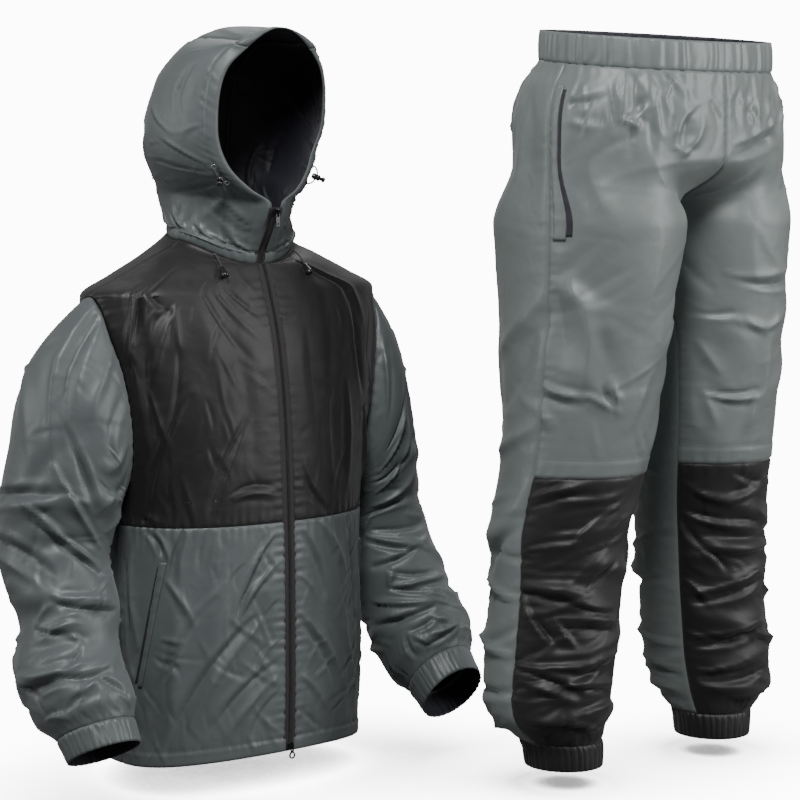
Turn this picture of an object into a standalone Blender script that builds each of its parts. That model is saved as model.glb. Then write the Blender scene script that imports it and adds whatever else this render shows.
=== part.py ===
"""A hooded rain jacket and rain trousers, filled out as if worn. Metres, +Z up, the fronts face -Y.

The origin is the centre of the jacket's neck seam. The wearer's right is -X.
Each cloth piece is a grid of points on a surface, with a wall made by Solidify.
"""

import math

import bmesh
import bpy
import numpy as np
from mathutils import Matrix, Vector

for old in list(bpy.data.objects):
    bpy.data.objects.remove(old, do_unlink=True)

RIGHT, LEFT = -1, 1  # the wearer's sides, as signs of X
WALL = 0.0012  # cloth wall
FLAT_GAP = 0.0003  # each piece is drawn back this far from a smooth seam
BENT_GAP = 0.0006  # and this far from a seam where the cloth turns
ZIP_HALF = 0.0072  # half the space between the two front edges

# Jacket body, by height. Columns: height at the side, front height added, back height added,
# half width, front depth, back depth, squareness
TORSO = np.array([
    (-0.735, 0.012, -0.006, 0.200, 0.131, 0.184, 2.2),
    (-0.600, 0.006, -0.002, 0.201, 0.134, 0.180, 2.2),
    (-0.480, 0.000, 0.000, 0.201, 0.134, 0.172, 2.2),
    (-0.390, 0.000, 0.000, 0.201, 0.132, 0.162, 2.3),
    (-0.330, 0.000, 0.000, 0.208, 0.130, 0.156, 2.3),
    (-0.250, 0.000, 0.000, 0.222, 0.125, 0.150, 2.3),
    (-0.170, 0.000, 0.000, 0.236, 0.116, 0.142, 2.3),
    (-0.110, 0.000, 0.000, 0.246, 0.104, 0.130, 2.3),
    (-0.066, 0.000, 0.000, 0.246, 0.090, 0.118, 2.3),
    (-0.040, -0.004, 0.004, 0.200, 0.082, 0.108, 2.2),
    (-0.012, -0.012, 0.014, 0.140, 0.073, 0.096, 2.1),
    (0.010, -0.036, 0.030, 0.098, 0.067, 0.088, 2.0),
    (0.026, -0.034, 0.030, 0.098, 0.070, 0.088, 2.0),
])
HEM, YOKE_SEAM, UNDERARM, SHOULDER, NECK, BAND_TOP = -0.735, -0.390, -0.352, -0.066, 0.010, 0.026
ARMHOLE_IN = 21.0  # degrees that the armhole curves in from the side

# Sleeves. Columns: length along the arm; x of the ring's centre, right then left; y, right then left;
# height; half width, right then left; half depth; rise of the outer side; lean to the front in degrees,
# right then left
ARM = np.array([
    (0.000, 0.235, 0.232, 0.002, 0.002, -0.209, 0.022, 0.020, 0.080, 0.143, 0, 0),
    (0.090, 0.263, 0.249, 0.010, 0.010, -0.250, 0.055, 0.041, 0.086, 0.111, 0, 0),
    (0.190, 0.283, 0.266, 0.018, 0.018, -0.330, 0.072, 0.056, 0.086, 0.060, 2, 2),
    (0.250, 0.292, 0.278, 0.024, 0.022, -0.385, 0.077, 0.061, 0.081, 0.035, 4, 4),
    (0.300, 0.295, 0.288, 0.022, 0.020, -0.435, 0.077, 0.069, 0.078, 0.015, 12, 10),
    (0.355, 0.292, 0.292, -0.006, -0.008, -0.500, 0.070, 0.070, 0.076, 0.000, 22, 24),
    (0.440, 0.310, 0.305, -0.032, -0.045, -0.575, 0.073, 0.073, 0.078, 0.000, 26, 34),
    (0.505, 0.310, 0.310, -0.075, -0.082, -0.630, 0.070, 0.070, 0.074, 0.000, 28, 44),
    (0.535, 0.308, 0.310, -0.094, -0.100, -0.650, 0.056, 0.056, 0.058, 0.000, 28, 50),
    (0.575, 0.307, 0.310, -0.116, -0.132, -0.682, 0.050, 0.050, 0.052, 0.000, 28, 54),
])
CUFF_TOP, ARM_END = 0.540, 0.575

# Hood. The face edge from the neck to the brim, right then left half width, y and z.
FACE = np.array([
    (0.00, 0.0072, 0.0072, -0.070, -0.006),
    (0.12, 0.0072, 0.0072, -0.092, 0.030),
    (0.22, 0.0080, 0.0080, -0.106, 0.060),
    (0.30, 0.0400, 0.0340, -0.105, 0.080),
    (0.40, 0.0720, 0.0560, -0.102, 0.106),
    (0.50, 0.0880, 0.0680, -0.099, 0.132),
    (0.62, 0.0955, 0.0850, -0.098, 0.167),
    (0.77, 0.0930, 0.0900, -0.099, 0.213),
    (0.90, 0.0790, 0.0800, -0.104, 0.254),
    (1.00, 0.0520, 0.0560, -0.111, 0.280),
])
# The seam of the hood's centre panel from the nape to the brim: share, half width, y, z
CROWN = np.array([
    (0.00, 0.046, 0.079, 0.055),
    (0.20, 0.052, 0.091, 0.090),
    (0.45, 0.058, 0.092, 0.160),
    (0.65, 0.060, 0.082, 0.222),
    (0.80, 0.060, 0.052, 0.270),
    (0.90, 0.058, -0.004, 0.296),
    (1.00, 0.050, -0.096, 0.290),
])

# Trousers, from their own centre line. Columns: height, half width, front depth, back depth
HIPS = np.array([
    (0.300, 0.186, 0.128, 0.140),
    (0.258, 0.188, 0.130, 0.144),
    (0.225, 0.206, 0.133, 0.168),
    (0.165, 0.217, 0.134, 0.190),
    (0.080, 0.217, 0.134, 0.190),
    (0.030, 0.217, 0.134, 0.185),
    (-0.050, 0.217, 0.134, 0.180),
])
# Each leg. Columns: height, centre x, centre y, half width, half depth
LEG = np.array([
    (0.160, 0.112, 0.028, 0.1115, 0.158),
    (0.030, 0.112, 0.026, 0.1115, 0.152),
    (-0.050, 0.116, 0.026, 0.106, 0.142),
    (-0.150, 0.121, 0.026, 0.105, 0.130),
    (-0.250, 0.128, 0.028, 0.102, 0.118),
    (-0.320, 0.134, 0.034, 0.100, 0.110),
    (-0.400, 0.146, 0.046, 0.097, 0.104),
    (-0.500, 0.152, 0.048, 0.092, 0.099),
    (-0.600, 0.163, 0.048, 0.092, 0.097),
    (-0.660, 0.170, 0.045, 0.088, 0.093),
    (-0.695, 0.164, 0.036, 0.070, 0.074),
    (-0.712, 0.158, 0.028, 0.058, 0.061),
    (-0.746, 0.156, 0.024, 0.054, 0.057),
])
TROUSER_PLACE = (0.471, -0.395)  # centre line of the trousers in the jacket's frame
WAIST_TOP, BAND_LOW, FORK_TOP, FORK_LOW = 0.300, 0.258, 0.135, 0.030
KNEE, ANKLE_BAND, ANKLE = -0.322, -0.709, -0.746
INSEAM_TURN, SIDE_TURN = 22.0, 168.0  # degrees round the leg from its inmost line

# Largest folds of the jacket's body. Columns: degrees from the front centre, height, the same for
# the other end, half width of the fold, height of the fold (below nought for a trough)
BODY_FOLDS = np.array([
    (-64, -0.06, -63, -0.28, 0.013, 0.0050), (-52, -0.08, -56, -0.24, 0.012, -0.0035),
    (62, -0.08, 63, -0.26, 0.013, 0.0045), (-28, -0.05, -22, -0.20, 0.014, 0.0030),
    (-16, -0.03, -12, -0.30, 0.012, -0.0025), (20, -0.04, 17, -0.24, 0.013, 0.0030),
    (-48, -0.30, -75, -0.38, 0.014, 0.0035), (52, -0.29, 74, -0.37, 0.014, 0.0035),
    (-30, -0.42, -36, -0.66, 0.018, 0.0040), (-50, -0.45, -57, -0.70, 0.016, 0.0045),
    (-80, -0.42, -84, -0.70, 0.018, 0.0040), (28, -0.44, 33, -0.70, 0.018, 0.0040),
    (74, -0.44, 80, -0.70, 0.018, 0.0040), (-12, -0.50, -14, -0.70, 0.014, -0.0030),
    (12, -0.46, 13, -0.68, 0.014, -0.0030), (118, -0.12, 126, -0.40, 0.018, 0.0045),
    (-118, -0.12, -124, -0.42, 0.018, 0.0045), (150, -0.30, 146, -0.68, 0.020, 0.0050),
    (-146, -0.28, -150, -0.70, 0.020, 0.0050), (176, -0.10, 172, -0.50, 0.020, -0.0035),
])
# Largest folds of a sleeve: degrees round it from the outer side, length along it, twice, then sizes
ARM_FOLDS = np.array([
    (20, 0.07, 60, 0.17, 0.012, 0.0040), (-30, 0.10, 20, 0.19, 0.012, 0.0045),
    (70, 0.12, 20, 0.24, 0.011, -0.0040), (120, 0.17, 60, 0.24, 0.012, 0.0045),
    (0, 0.26, 70, 0.22, 0.012, 0.0060), (20, 0.30, 100, 0.27, 0.012, -0.0060),
    (-20, 0.33, 60, 0.35, 0.013, 0.0070), (40, 0.39, 130, 0.33, 0.012, 0.0055),
    (10, 0.41, 90, 0.42, 0.012, -0.0060), (-30, 0.46, 50, 0.44, 0.013, 0.0070),
    (60, 0.49, 140, 0.43, 0.012, 0.0055), (-10, 0.51, 70, 0.50, 0.010, -0.0045),
    (180, 0.28, 240, 0.22, 0.013, 0.0060), (190, 0.36, 260, 0.33, 0.013, 0.0060),
    (170, 0.44, 240, 0.46, 0.013, 0.0060), (230, 0.12, 280, 0.20, 0.012, 0.0045),
    (300, 0.20, 330, 0.30, 0.013, 0.0045), (280, 0.42, 330, 0.40, 0.013, 0.0055),
])
# Largest folds of a leg: share round it (0 centre front or inseam, 1 side, 2 centre back), height, twice
LEG_FOLDS = np.array([
    (0.15, 0.20, 0.10, 0.06, 0.018, 0.0040), (0.45, 0.18, 0.38, -0.12, 0.020, 0.0040),
    (0.75, 0.10, 0.60, -0.20, 0.020, 0.0045), (0.10, -0.02, 0.40, -0.16, 0.018, 0.0050),
    (0.94, -0.05, 0.70, -0.12, 0.014, 0.0050), (0.95, -0.14, 0.62, -0.22, 0.014, 0.0045),
    (0.10, -0.22, 0.30, -0.30, 0.016, 0.0040), (0.20, -0.36, 0.80, -0.42, 0.013, 0.0060),
    (0.10, -0.47, 0.60, -0.44, 0.013, 0.0060), (0.85, -0.47, 0.40, -0.53, 0.014, 0.0070),
    (0.15, -0.55, 0.70, -0.58, 0.014, 0.0070), (0.90, -0.60, 0.30, -0.63, 0.014, 0.0075),
    (0.10, -0.66, 0.60, -0.67, 0.012, 0.0070), (0.95, -0.68, 0.65, -0.66, 0.012, 0.0060),
    (1.10, -0.40, 1.60, -0.45, 0.014, 0.0060), (1.85, -0.48, 1.35, -0.53, 0.014, 0.0070),
    (1.15, -0.56, 1.70, -0.60, 0.014, 0.0070), (1.90, -0.64, 1.30, -0.66, 0.014, 0.0070),
    (1.20, 0.15, 1.40, -0.20, 0.020, 0.0045), (1.70, 0.05, 1.50, -0.22, 0.020, 0.0045),
])
# Folds of each hood side: share up from the neck, share from the face edge to the crown seam, twice
HOOD_FOLDS = np.array([
    (0.05, 0.25, 0.30, 0.30, 0.010, 0.0040), (0.05, 0.55, 0.35, 0.50, 0.011, -0.0035),
    (0.05, 0.80, 0.30, 0.70, 0.010, 0.0040), (0.45, 0.55, 0.80, 0.40, 0.012, 0.0030),
])


def column(table, index, at):
    """A smooth curve through one column of a table, at these values of its first column."""
    x, y = table[:, 0], table[:, index]
    if x[0] > x[-1]:
        x, y = x[::-1], y[::-1]
    slopes = np.gradient(y, x)
    steps = np.diff(y) / np.diff(x)
    for i in range(1, len(x) - 1):
        most = 3 * min(abs(steps[i - 1]), abs(steps[i]))
        slopes[i] = 0.0 if steps[i - 1] * steps[i] <= 0 else float(np.clip(slopes[i], -most, most))
    at = np.clip(np.asarray(at, float), x[0], x[-1])
    i = np.clip(np.searchsorted(x, at, side="right") - 1, 0, len(x) - 2)
    width = x[i + 1] - x[i]
    t = (at - x[i]) / width
    first = (1 + 2 * t) * (1 - t) ** 2 * y[i] + t * (1 - t) ** 2 * width * slopes[i]
    second = t * t * (3 - 2 * t) * y[i + 1] - t * t * (1 - t) * width * slopes[i + 1]
    return first + second


def ease(x):
    """0 below 0, 1 above 1 and smooth between."""
    x = np.clip(x, 0, 1)
    return x * x * (3 - 2 * x)


def power_ring(turn, half_x, half_y, squareness):
    """x to the side and y to the back at this many degrees from the front."""
    s, c = np.sin(np.radians(turn)), np.cos(np.radians(turn))
    x = half_x * np.sign(s) * np.abs(s) ** (2 / squareness)
    y = -half_y * np.sign(c) * np.abs(c) ** (2 / squareness)
    return x, y


def folds_at(table, across, along, across_scale, wrap=None):
    """How far the folds of a table lift the cloth at each point: long soft ridges and troughs that fade out at their ends."""
    total = np.zeros(np.broadcast(across, along).shape)
    for a0, b0, a1, b1, half, lift in table:
        da = across - a0
        if wrap:
            da = (da + wrap / 2) % wrap - wrap / 2
        px, py = da * across_scale, along - b0
        dx, dy = (a1 - a0) * across_scale, b1 - b0
        length = math.hypot(dx, dy)
        t = np.clip((px * dx + py * dy) / length**2, 0, 1)
        away = np.hypot(px - t * dx, py - t * dy)
        total = total + lift * np.exp(-((away / half) ** 2)) * np.sin(math.pi * (0.12 + 0.76 * t))
    return total


def raised(surface, lift):
    """The surface moved out along its own normal by lift(u, v)."""
    step = 1e-3

    def moved(u, v):
        u, v = np.asarray(u, float), np.asarray(v, float)
        height = lift(u, v)
        du = surface(u + step, v) - surface(u - step, v)
        dv = surface(u, v + step) - surface(u, v - step)
        normal = np.cross(du, dv)
        length = np.linalg.norm(normal, axis=-1, keepdims=True)
        return surface(u, v) + normal / np.maximum(length, 1e-12) * height[..., None]

    return moved


def torso_base(turn, height):
    """A point of the jacket's body. turn is in degrees from the front centre, positive to the wearer's left."""
    front = np.cos(np.radians(turn))
    z = height + np.where(
        front > 0,
        column(TORSO, 1, height) * front**2,
        column(TORSO, 2, height) * front**2,
    )
    depth = np.where(front > 0, column(TORSO, 4, height), column(TORSO, 5, height))
    x, y = power_ring(turn, column(TORSO, 3, height), depth, column(TORSO, 6, height))
    return np.stack(np.broadcast_arrays(x, y, z), axis=-1)


def torso_lift(turn, height):
    """The body's folds, with none at the hem, at the neck and beside the zip."""
    plain = ease((height - HEM) / 0.03) * ease((NECK - 0.03 - height) / 0.05)
    beside_zip = ease((np.abs(turn) - 4) / 8)
    at_side = np.abs(90 - np.abs(turn))
    beside_arm = np.where(height > UNDERARM - 0.03, ease((at_side - ARMHOLE_IN) / 10), 1.0)
    return folds_at(BODY_FOLDS, turn, height, 0.0034) * plain * beside_zip * beside_arm


def hundredth(surface):
    """The surface with degrees given in hundreds, so that both parameters have like steps."""
    return lambda u, v: surface(u * 100, v)


torso = raised(hundredth(torso_base), lambda u, v: torso_lift(u * 100, v))


def armhole_turn(height):
    """Degrees from the front or back centre to the armhole at this height."""
    share = np.clip((height - UNDERARM) / (SHOULDER - UNDERARM), 0, 1)
    return 90 - ARMHOLE_IN * np.sqrt(np.maximum(0, 1 - (2 * share - 1) ** 2))


def armhole(turn):
    """The armhole seam on the left, by degrees round it: 0 shoulder, 90 front, 180 underarm, 270 back."""
    height = SHOULDER + (UNDERARM - SHOULDER) * (1 - np.cos(np.radians(turn))) / 2
    inwards = ARMHOLE_IN * np.sin(np.radians(turn))
    return torso_base(90 - inwards, height)


def sleeve_surface(side):
    """A sleeve as (degrees / 100 round it from the outer side towards the front, length along it)."""
    x_column, y_column, half_column, lean_column = (1, 3, 6, 10) if side == RIGHT else (2, 4, 7, 11)

    def base(u, along):
        turn = u * 100
        lean = np.radians(column(ARM, lean_column, along))
        out = column(ARM, half_column, along) * np.cos(np.radians(turn))
        rise = column(ARM, 9, along) * np.cos(np.radians(turn))
        front = column(ARM, 8, along) * np.sin(np.radians(turn))
        ring = np.stack([
            column(ARM, x_column, along) + out,
            column(ARM, y_column, along) - front * np.cos(lean),
            column(ARM, 5, along) + front * np.sin(lean) + rise,
        ], axis=-1)
        joined = ease(along / 0.10)[..., None]
        return armhole(turn) * (1 - joined) + ring * joined

    def lift(u, along):
        plain = ease(along / 0.06) * ease((CUFF_TOP - along) / 0.02)
        shifted = u * 100 if side == RIGHT else u * 100 + 25
        return folds_at(ARM_FOLDS, shifted, along, 0.0013, wrap=360) * plain

    shape = raised(base, lift)
    mirrored = np.array([side, 1, 1])
    return lambda u, v: shape(u, v) * mirrored


def gathered(surface, waves, lift, around=3.6):
    """A ring surface with gathers round it."""
    return raised(surface, lambda u, v: lift * np.cos(u / around * 2 * math.pi * waves) + 0 * v)


def hood_side_surface(side):
    """One side of the hood as (share from the face edge to the crown seam, share up from the neck)."""

    def base(p, q):
        face = np.stack([
            column(FACE, 1 if side == RIGHT else 2, q), column(FACE, 3, q), column(FACE, 4, q)
        ], axis=-1)
        crown = np.stack([column(CROWN, 1, q), column(CROWN, 2, q), column(CROWN, 3, q)], axis=-1)
        p, q = np.broadcast_arrays(p, q)
        straight = face * (1 - p[..., None]) + crown * p[..., None]
        across = 0.050 * (1 - q**3) + 0.018
        wave = np.sin(math.pi * p)
        bulge = np.sign(wave) * np.abs(wave) ** 0.75 * across
        backwards = np.sin(math.pi * p * np.abs(p) ** 0.5) * 0.020 * (1 - q**2)
        middle = straight + np.stack([bulge, backwards, 0 * p], axis=-1)
        turn = 4.2 + (150 - 4.2) * p
        neck = torso_base(turn, 0 * p + BAND_TOP)
        low = (1 - ease(q / 0.24))[..., None]
        shift = neck - (face * (1 - p[..., None]) + crown * p[..., None])
        at_neck = straight + shift
        return middle * (1 - low) + at_neck * low

    def lift(p, q):
        plain = ease(q / 0.05) * ease((1 - q) / 0.1) * ease(p / 0.1) * ease((1 - p) / 0.1)
        return folds_at(HOOD_FOLDS, q / 0.3, p * 0.2, 0.10) * plain

    shape = raised(base, lift)
    mirrored = np.array([side, 1, 1])
    return lambda u, v: shape(u, v) * mirrored


def hood_centre_surface(c, q):
    """The hood's centre panel as (-1 right seam to 1 left seam, share from the nape to the brim)."""
    c, q = np.broadcast_arrays(np.asarray(c, float), np.asarray(q, float))
    half, y, z = (column(CROWN, i, q) for i in (1, 2, 3))
    up = ease((q - 0.35) / 0.5)
    arch = (1 - c**2) * (0.012 + 0.006 * up)
    brim = ease((q - 0.8) / 0.2)
    seam = np.stack([c * half, y + arch * (1 - up) - brim * (1 - c**2) * 0.022, z + arch * up], axis=-1)
    neck = torso_base(180 + 30 * c * -1, 0 * q + BAND_TOP)
    low = (1 - ease(q / 0.24))[..., None]
    start = np.stack([c * column(CROWN, 1, q), column(CROWN, 2, q), column(CROWN, 3, q)], axis=-1)
    return seam * (1 - low) + (start + (neck - start)) * low


def leg_base(side):
    """Half of the trousers as (share round it, height): 0 centre front or inseam, 1 side seam, 2 centre back or inseam."""

    def base(share, height):
        share, height = np.broadcast_arrays(np.asarray(share, float), np.asarray(height, float))
        front = share <= 1
        turn = 90 * share
        depth = np.where(front, column(HIPS, 2, height), column(HIPS, 3, height))
        x, y = power_ring(turn, column(HIPS, 1, height), depth, 2.15)
        slope = 0.014 * np.clip(y / 0.15, -1, 1) * ease((height - 0.1) / 0.15)
        hips = np.stack([x, y, height + slope], axis=-1)
        inseam = INSEAM_TURN * ease((FORK_LOW - height) / 0.18)
        round_leg = np.where(
            front,
            inseam + (SIDE_TURN - inseam) * share,
            SIDE_TURN + (360 + inseam - SIDE_TURN) * (share - 1),
        )
        c, s = np.cos(np.radians(round_leg)), np.sin(np.radians(round_leg))
        leg = np.stack([
            column(LEG, 1, height) - column(LEG, 3, height) * c,
            column(LEG, 2, height) - column(LEG, 4, height) * s,
            height + 0 * c,
        ], axis=-1)
        w = ease((FORK_TOP - height) / (FORK_TOP - FORK_LOW))[..., None] ** 1.4
        return hips * (1 - w) + leg * w

    return base


def leg_surface(side):
    base = leg_base(side)

    def lift(share, height):
        plain = ease((height - ANKLE_BAND) / 0.02) * ease((BAND_LOW - height) / 0.03)
        reach = np.where(height > -0.10, 0.45, 0.08)
        middle = ease(share / reach) * ease((2 - share) / reach)
        shifted = share if side == RIGHT else share + 0.07
        return folds_at(LEG_FOLDS, shifted, height, 0.17) * plain * middle

    shape = raised(base, lift)
    mirrored = np.array([side, 1, 1])
    place = np.array([TROUSER_PLACE[0], TROUSER_PLACE[1], 0])
    return lambda u, v: shape(u, v) * mirrored + place


def waist_base(turn, height):
    """The waistband: turn is in hundreds of degrees from the front centre."""
    degrees = turn * 100
    front = np.cos(np.radians(degrees))
    depth = np.where(front > 0, column(HIPS, 2, height), column(HIPS, 3, height))
    x, y = power_ring(degrees, column(HIPS, 1, height), depth, 2.15)
    slope = 0.014 * np.clip(y / 0.15, -1, 1) * ease((height - 0.1) / 0.15)
    place = np.array([TROUSER_PLACE[0], TROUSER_PLACE[1], 0])
    return np.stack(np.broadcast_arrays(x, y, height + slope), axis=-1) + place


MATERIALS = {}


def material(name, colour, roughness):
    made = bpy.data.materials.new(name)
    made.use_nodes = True
    shader = made.node_tree.nodes["Principled BSDF"]
    shader.inputs["Base Color"].default_value = (*colour, 1)
    shader.inputs["Roughness"].default_value = roughness
    MATERIALS[name] = made


material("slate_cloth", (0.105, 0.125, 0.130), 0.42)
material("black_cloth", (0.028, 0.027, 0.026), 0.48)
material("zip_tape", (0.020, 0.018, 0.018), 0.70)
material("black_plastic", (0.012, 0.012, 0.013), 0.25)
material("black_metal", (0.020, 0.020, 0.022), 0.30)
material("cord_black", (0.020, 0.020, 0.021), 0.80)
material("eyelet_metal", (0.45, 0.45, 0.46), 0.30)

COLLECTION = bpy.data.collections.new("rain_suit")
bpy.context.scene.collection.children.link(COLLECTION)


def mesh_object(name, points, faces, slot):
    mesh = bpy.data.meshes.new(name)
    mesh.from_pydata([tuple(p) for p in points], [], faces)
    mesh.materials.append(MATERIALS[slot])
    obj = bpy.data.objects.new(name, mesh)
    COLLECTION.objects.link(obj)
    return obj


def drawn_back(grid, axis, end, gap):
    """Moves one edge row of a grid of points towards the next row by gap."""
    edge = [slice(None)] * 3
    beside = [slice(None)] * 3
    edge[axis], beside[axis] = (0, 1) if end == 0 else (-1, -2)
    step = grid[tuple(beside)] - grid[tuple(edge)]
    length = np.linalg.norm(step, axis=-1, keepdims=True)
    grid[tuple(edge)] = grid[tuple(edge)] + step / np.maximum(length, 1e-9) * gap


def cloth_panel(name, grid, slot, inside, gaps=(0, 0, 0, 0), closed=False, wall=WALL):
    """A wall of cloth on a grid of points [row, column]. gaps are for the first and last row, then the first and last column."""
    grid = np.array(grid, float)
    for axis, end, gap in ((0, 0, gaps[0]), (0, 1, gaps[1]), (1, 0, gaps[2]), (1, 1, gaps[3])):
        if gap and not (closed and axis == 1):
            drawn_back(grid, axis, end, gap)
    rows, columns = grid.shape[:2]
    quads = []
    for r in range(rows - 1):
        for c in range(columns if closed else columns - 1):
            d = (c + 1) % columns
            quads.append((r * columns + c, r * columns + d, (r + 1) * columns + d, (r + 1) * columns + c))
    flat = grid.reshape(-1, 3)
    corner = np.array([flat[list(q)] for q in quads])
    normal = np.cross(corner[:, 2] - corner[:, 0], corner[:, 3] - corner[:, 1])
    outward = corner.mean(axis=1) - inside(corner.mean(axis=1))
    if (normal * outward).sum() < 0:
        quads = [q[::-1] for q in quads]
    obj = mesh_object(name, flat, quads, slot)
    thick = obj.modifiers.new("wall", "SOLIDIFY")
    thick.thickness = wall
    thick.offset = -1
    return obj


def grid_of(surface, us, vs):
    """Points of a surface, a row for each v and a column for each u."""
    u, v = np.meshgrid(np.asarray(us, float), np.asarray(vs, float))
    return surface(u, v)


def upright_axis(x, y):
    """For cloth round a vertical line: the point of that line at each point's own height."""
    return lambda points: np.stack([0 * points[:, 0] + x, 0 * points[:, 0] + y, points[:, 2]], axis=-1)


BODY_AXIS = upright_axis(0, 0.02)


def body_panel(name, low, high, first, last, rows, columns, slot, gaps):
    """A panel of the jacket's body. first and last give its edges in degrees at a height."""
    heights = np.linspace(low, high, rows)
    grid = []
    for h in heights:
        turns = np.linspace(first(h), last(h), columns) / 100
        grid.append(torso(turns, np.full(columns, h)))
    return cloth_panel(name, np.array(grid), slot, BODY_AXIS, gaps)


def zip_turn(height):
    """Degrees from the front centre to the edge of the zip's space."""
    ratio = ZIP_HALF / column(TORSO, 3, height)
    return math.degrees(math.asin(ratio ** (column(TORSO, 6, height) / 2)))


def edge_turn(height):
    return float(armhole_turn(height)) if UNDERARM < height < SHOULDER else 90.0


def yoke_heights(rows):
    """Rows closer together at the shoulder and the underarm, where the armhole turns."""
    body = np.linspace(YOKE_SEAM, UNDERARM, 2)[:-1]
    turn = np.linspace(0, math.pi, rows)
    arm = UNDERARM + (SHOULDER - UNDERARM) * (1 - np.cos(turn)) / 2
    top = np.linspace(SHOULDER, NECK, 5)[1:]
    return np.concatenate([body, arm, top])


def yoke_panel(name, first, last, columns, gaps):
    grid = []
    for h in yoke_heights(9):
        turns = np.linspace(first(h), last(h), columns) / 100
        grid.append(torso(turns, np.full(columns, h)))
    return cloth_panel(name, np.array(grid), "black_cloth", BODY_AXIS, gaps)


for side, tag in ((RIGHT, "r"), (LEFT, "l")):
    near_zip = lambda h, s=side: s * zip_turn(h)
    outer = lambda h, s=side: s * edge_turn(h)
    side_seam = lambda h, s=side: s * 90.0
    yoke_panel(f"yoke_front_{tag}", near_zip, outer, 10, (FLAT_GAP, BENT_GAP, 0, BENT_GAP))
    body_panel(f"lower_front_{tag}", HEM, YOKE_SEAM, near_zip, side_seam, 8, 10, "slate_cloth",
               (0, FLAT_GAP, 0, FLAT_GAP))
yoke_panel("yoke_back", lambda h: 180 - edge_turn(h), lambda h: 180 + edge_turn(h), 15,
           (FLAT_GAP, BENT_GAP, BENT_GAP, BENT_GAP))
body_panel("lower_back", HEM, YOKE_SEAM, lambda h: 90.0, lambda h: 270.0, 8, 15, "slate_cloth",
           (0, FLAT_GAP, FLAT_GAP, FLAT_GAP))
body_panel("neck_band", NECK, BAND_TOP, zip_turn, lambda h: 360 - zip_turn(h), 2, 25, "slate_cloth",
           (BENT_GAP, BENT_GAP, 0, 0))

# Sleeves with their elastic cuffs
RING = 3.6  # a whole turn in hundreds of degrees
CUFF_WAVES, ANKLE_WAVES, WAIST_WAVES = 10, 11, 30


def ring_panel(name, surface, alongs, columns, slot, gaps):
    turns = np.arange(columns) / columns * RING
    grid = grid_of(surface, turns, alongs)
    centres = grid.mean(axis=1)

    def inside(points):
        nearest = np.argmin(np.linalg.norm(points[:, None] - centres[None], axis=-1), axis=1)
        return centres[nearest]

    return cloth_panel(name, grid, slot, inside, (*gaps, 0, 0), closed=True)


for side, tag in ((RIGHT, "r"), (LEFT, "l")):
    sleeve = sleeve_surface(side)
    lengths = np.concatenate([[0, 0.02], np.linspace(0.045, CUFF_TOP, 16)])
    ring_panel(f"sleeve_{tag}", sleeve, lengths, 19, "slate_cloth", (2 * BENT_GAP, BENT_GAP))
    cuff = gathered(sleeve, CUFF_WAVES, 0.0011)
    ring_panel(f"cuff_{tag}", cuff, np.linspace(CUFF_TOP, ARM_END, 2), CUFF_WAVES * 4, "slate_cloth", (BENT_GAP, 0))

# Hood
HOOD_MIDDLE = np.array([0, 0.0, 0.16])
for side, tag in ((RIGHT, "r"), (LEFT, "l")):
    grid = grid_of(hood_side_surface(side), np.linspace(0, 1, 12), np.linspace(0, 1, 12))
    cloth_panel(f"hood_side_{tag}", grid, "slate_cloth", lambda points: HOOD_MIDDLE + 0 * points,
                (2 * BENT_GAP, 0, 0, BENT_GAP))
grid = grid_of(hood_centre_surface, np.linspace(-1, 1, 7), np.linspace(0, 1, 12))
cloth_panel("hood_centre", grid, "slate_cloth", lambda points: HOOD_MIDDLE + 0 * points,
            (BENT_GAP, 0, BENT_GAP, BENT_GAP))

# Front zip: two tapes and the closed chain between them
CHAIN_HALF, TAPE_IN, TAPE_OUT = 0.0024, 0.0028, 0.0068
TOP_SLIDER_SHARE = 0.19
LOW_SLIDER = HEM + 0.008


def zip_line(s):
    """y and z of the zip at s: the height up to the neck band's top, then that height plus the share up the face edge."""
    low = torso_base(0.0, np.minimum(s, BAND_TOP))
    share = np.clip(s - BAND_TOP, 0, 1)
    on_hood = s > BAND_TOP
    y = np.where(on_hood, column(FACE, 3, share), low[..., 1])
    z = np.where(on_hood, column(FACE, 4, share), low[..., 2])
    return y, z


def zip_strip(name, stops, x_first, x_last, out, wall, slot):
    grid = []
    for s in stops:
        y, z = zip_line(np.array(s))
        grid.append([(x, float(y) - out, float(z)) for x in (x_first, x_last)])
    return cloth_panel(name, np.array(grid), slot, upright_axis(0, 0.05), wall=wall)


body_stops = list(np.linspace(HEM + 0.002, BAND_TOP, 20))
hood_stops = [BAND_TOP + share for share in (0.06, 0.12, 0.18, 0.22)]
for side, tag in ((RIGHT, "r"), (LEFT, "l")):
    zip_strip(f"zip_tape_{tag}", body_stops + hood_stops, side * TAPE_IN, side * TAPE_OUT, 0.0, 0.0010, "zip_tape")
chain_stops = list(np.linspace(HEM + 0.017, BAND_TOP, 18)) + [BAND_TOP + share for share in (0.05, 0.10, 0.14)]
zip_strip("zip_chain", chain_stops, -CHAIN_HALF, CHAIN_HALF, 0.0008, 0.0020, "zip_tape")


def block(name, size, slot, bevel=0.0):
    """A box of this size about the origin, with rounded edges."""
    mesh = bpy.data.meshes.new(name)
    made = bmesh.new()
    bmesh.ops.create_cube(made, size=1)
    bmesh.ops.scale(made, vec=size, verts=made.verts)
    if bevel:
        bmesh.ops.bevel(made, geom=made.edges[:], offset=bevel, segments=1, affect="EDGES")
    made.to_mesh(mesh)
    made.free()
    mesh.materials.append(MATERIALS[slot])
    obj = bpy.data.objects.new(name, mesh)
    COLLECTION.objects.link(obj)
    return obj


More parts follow.
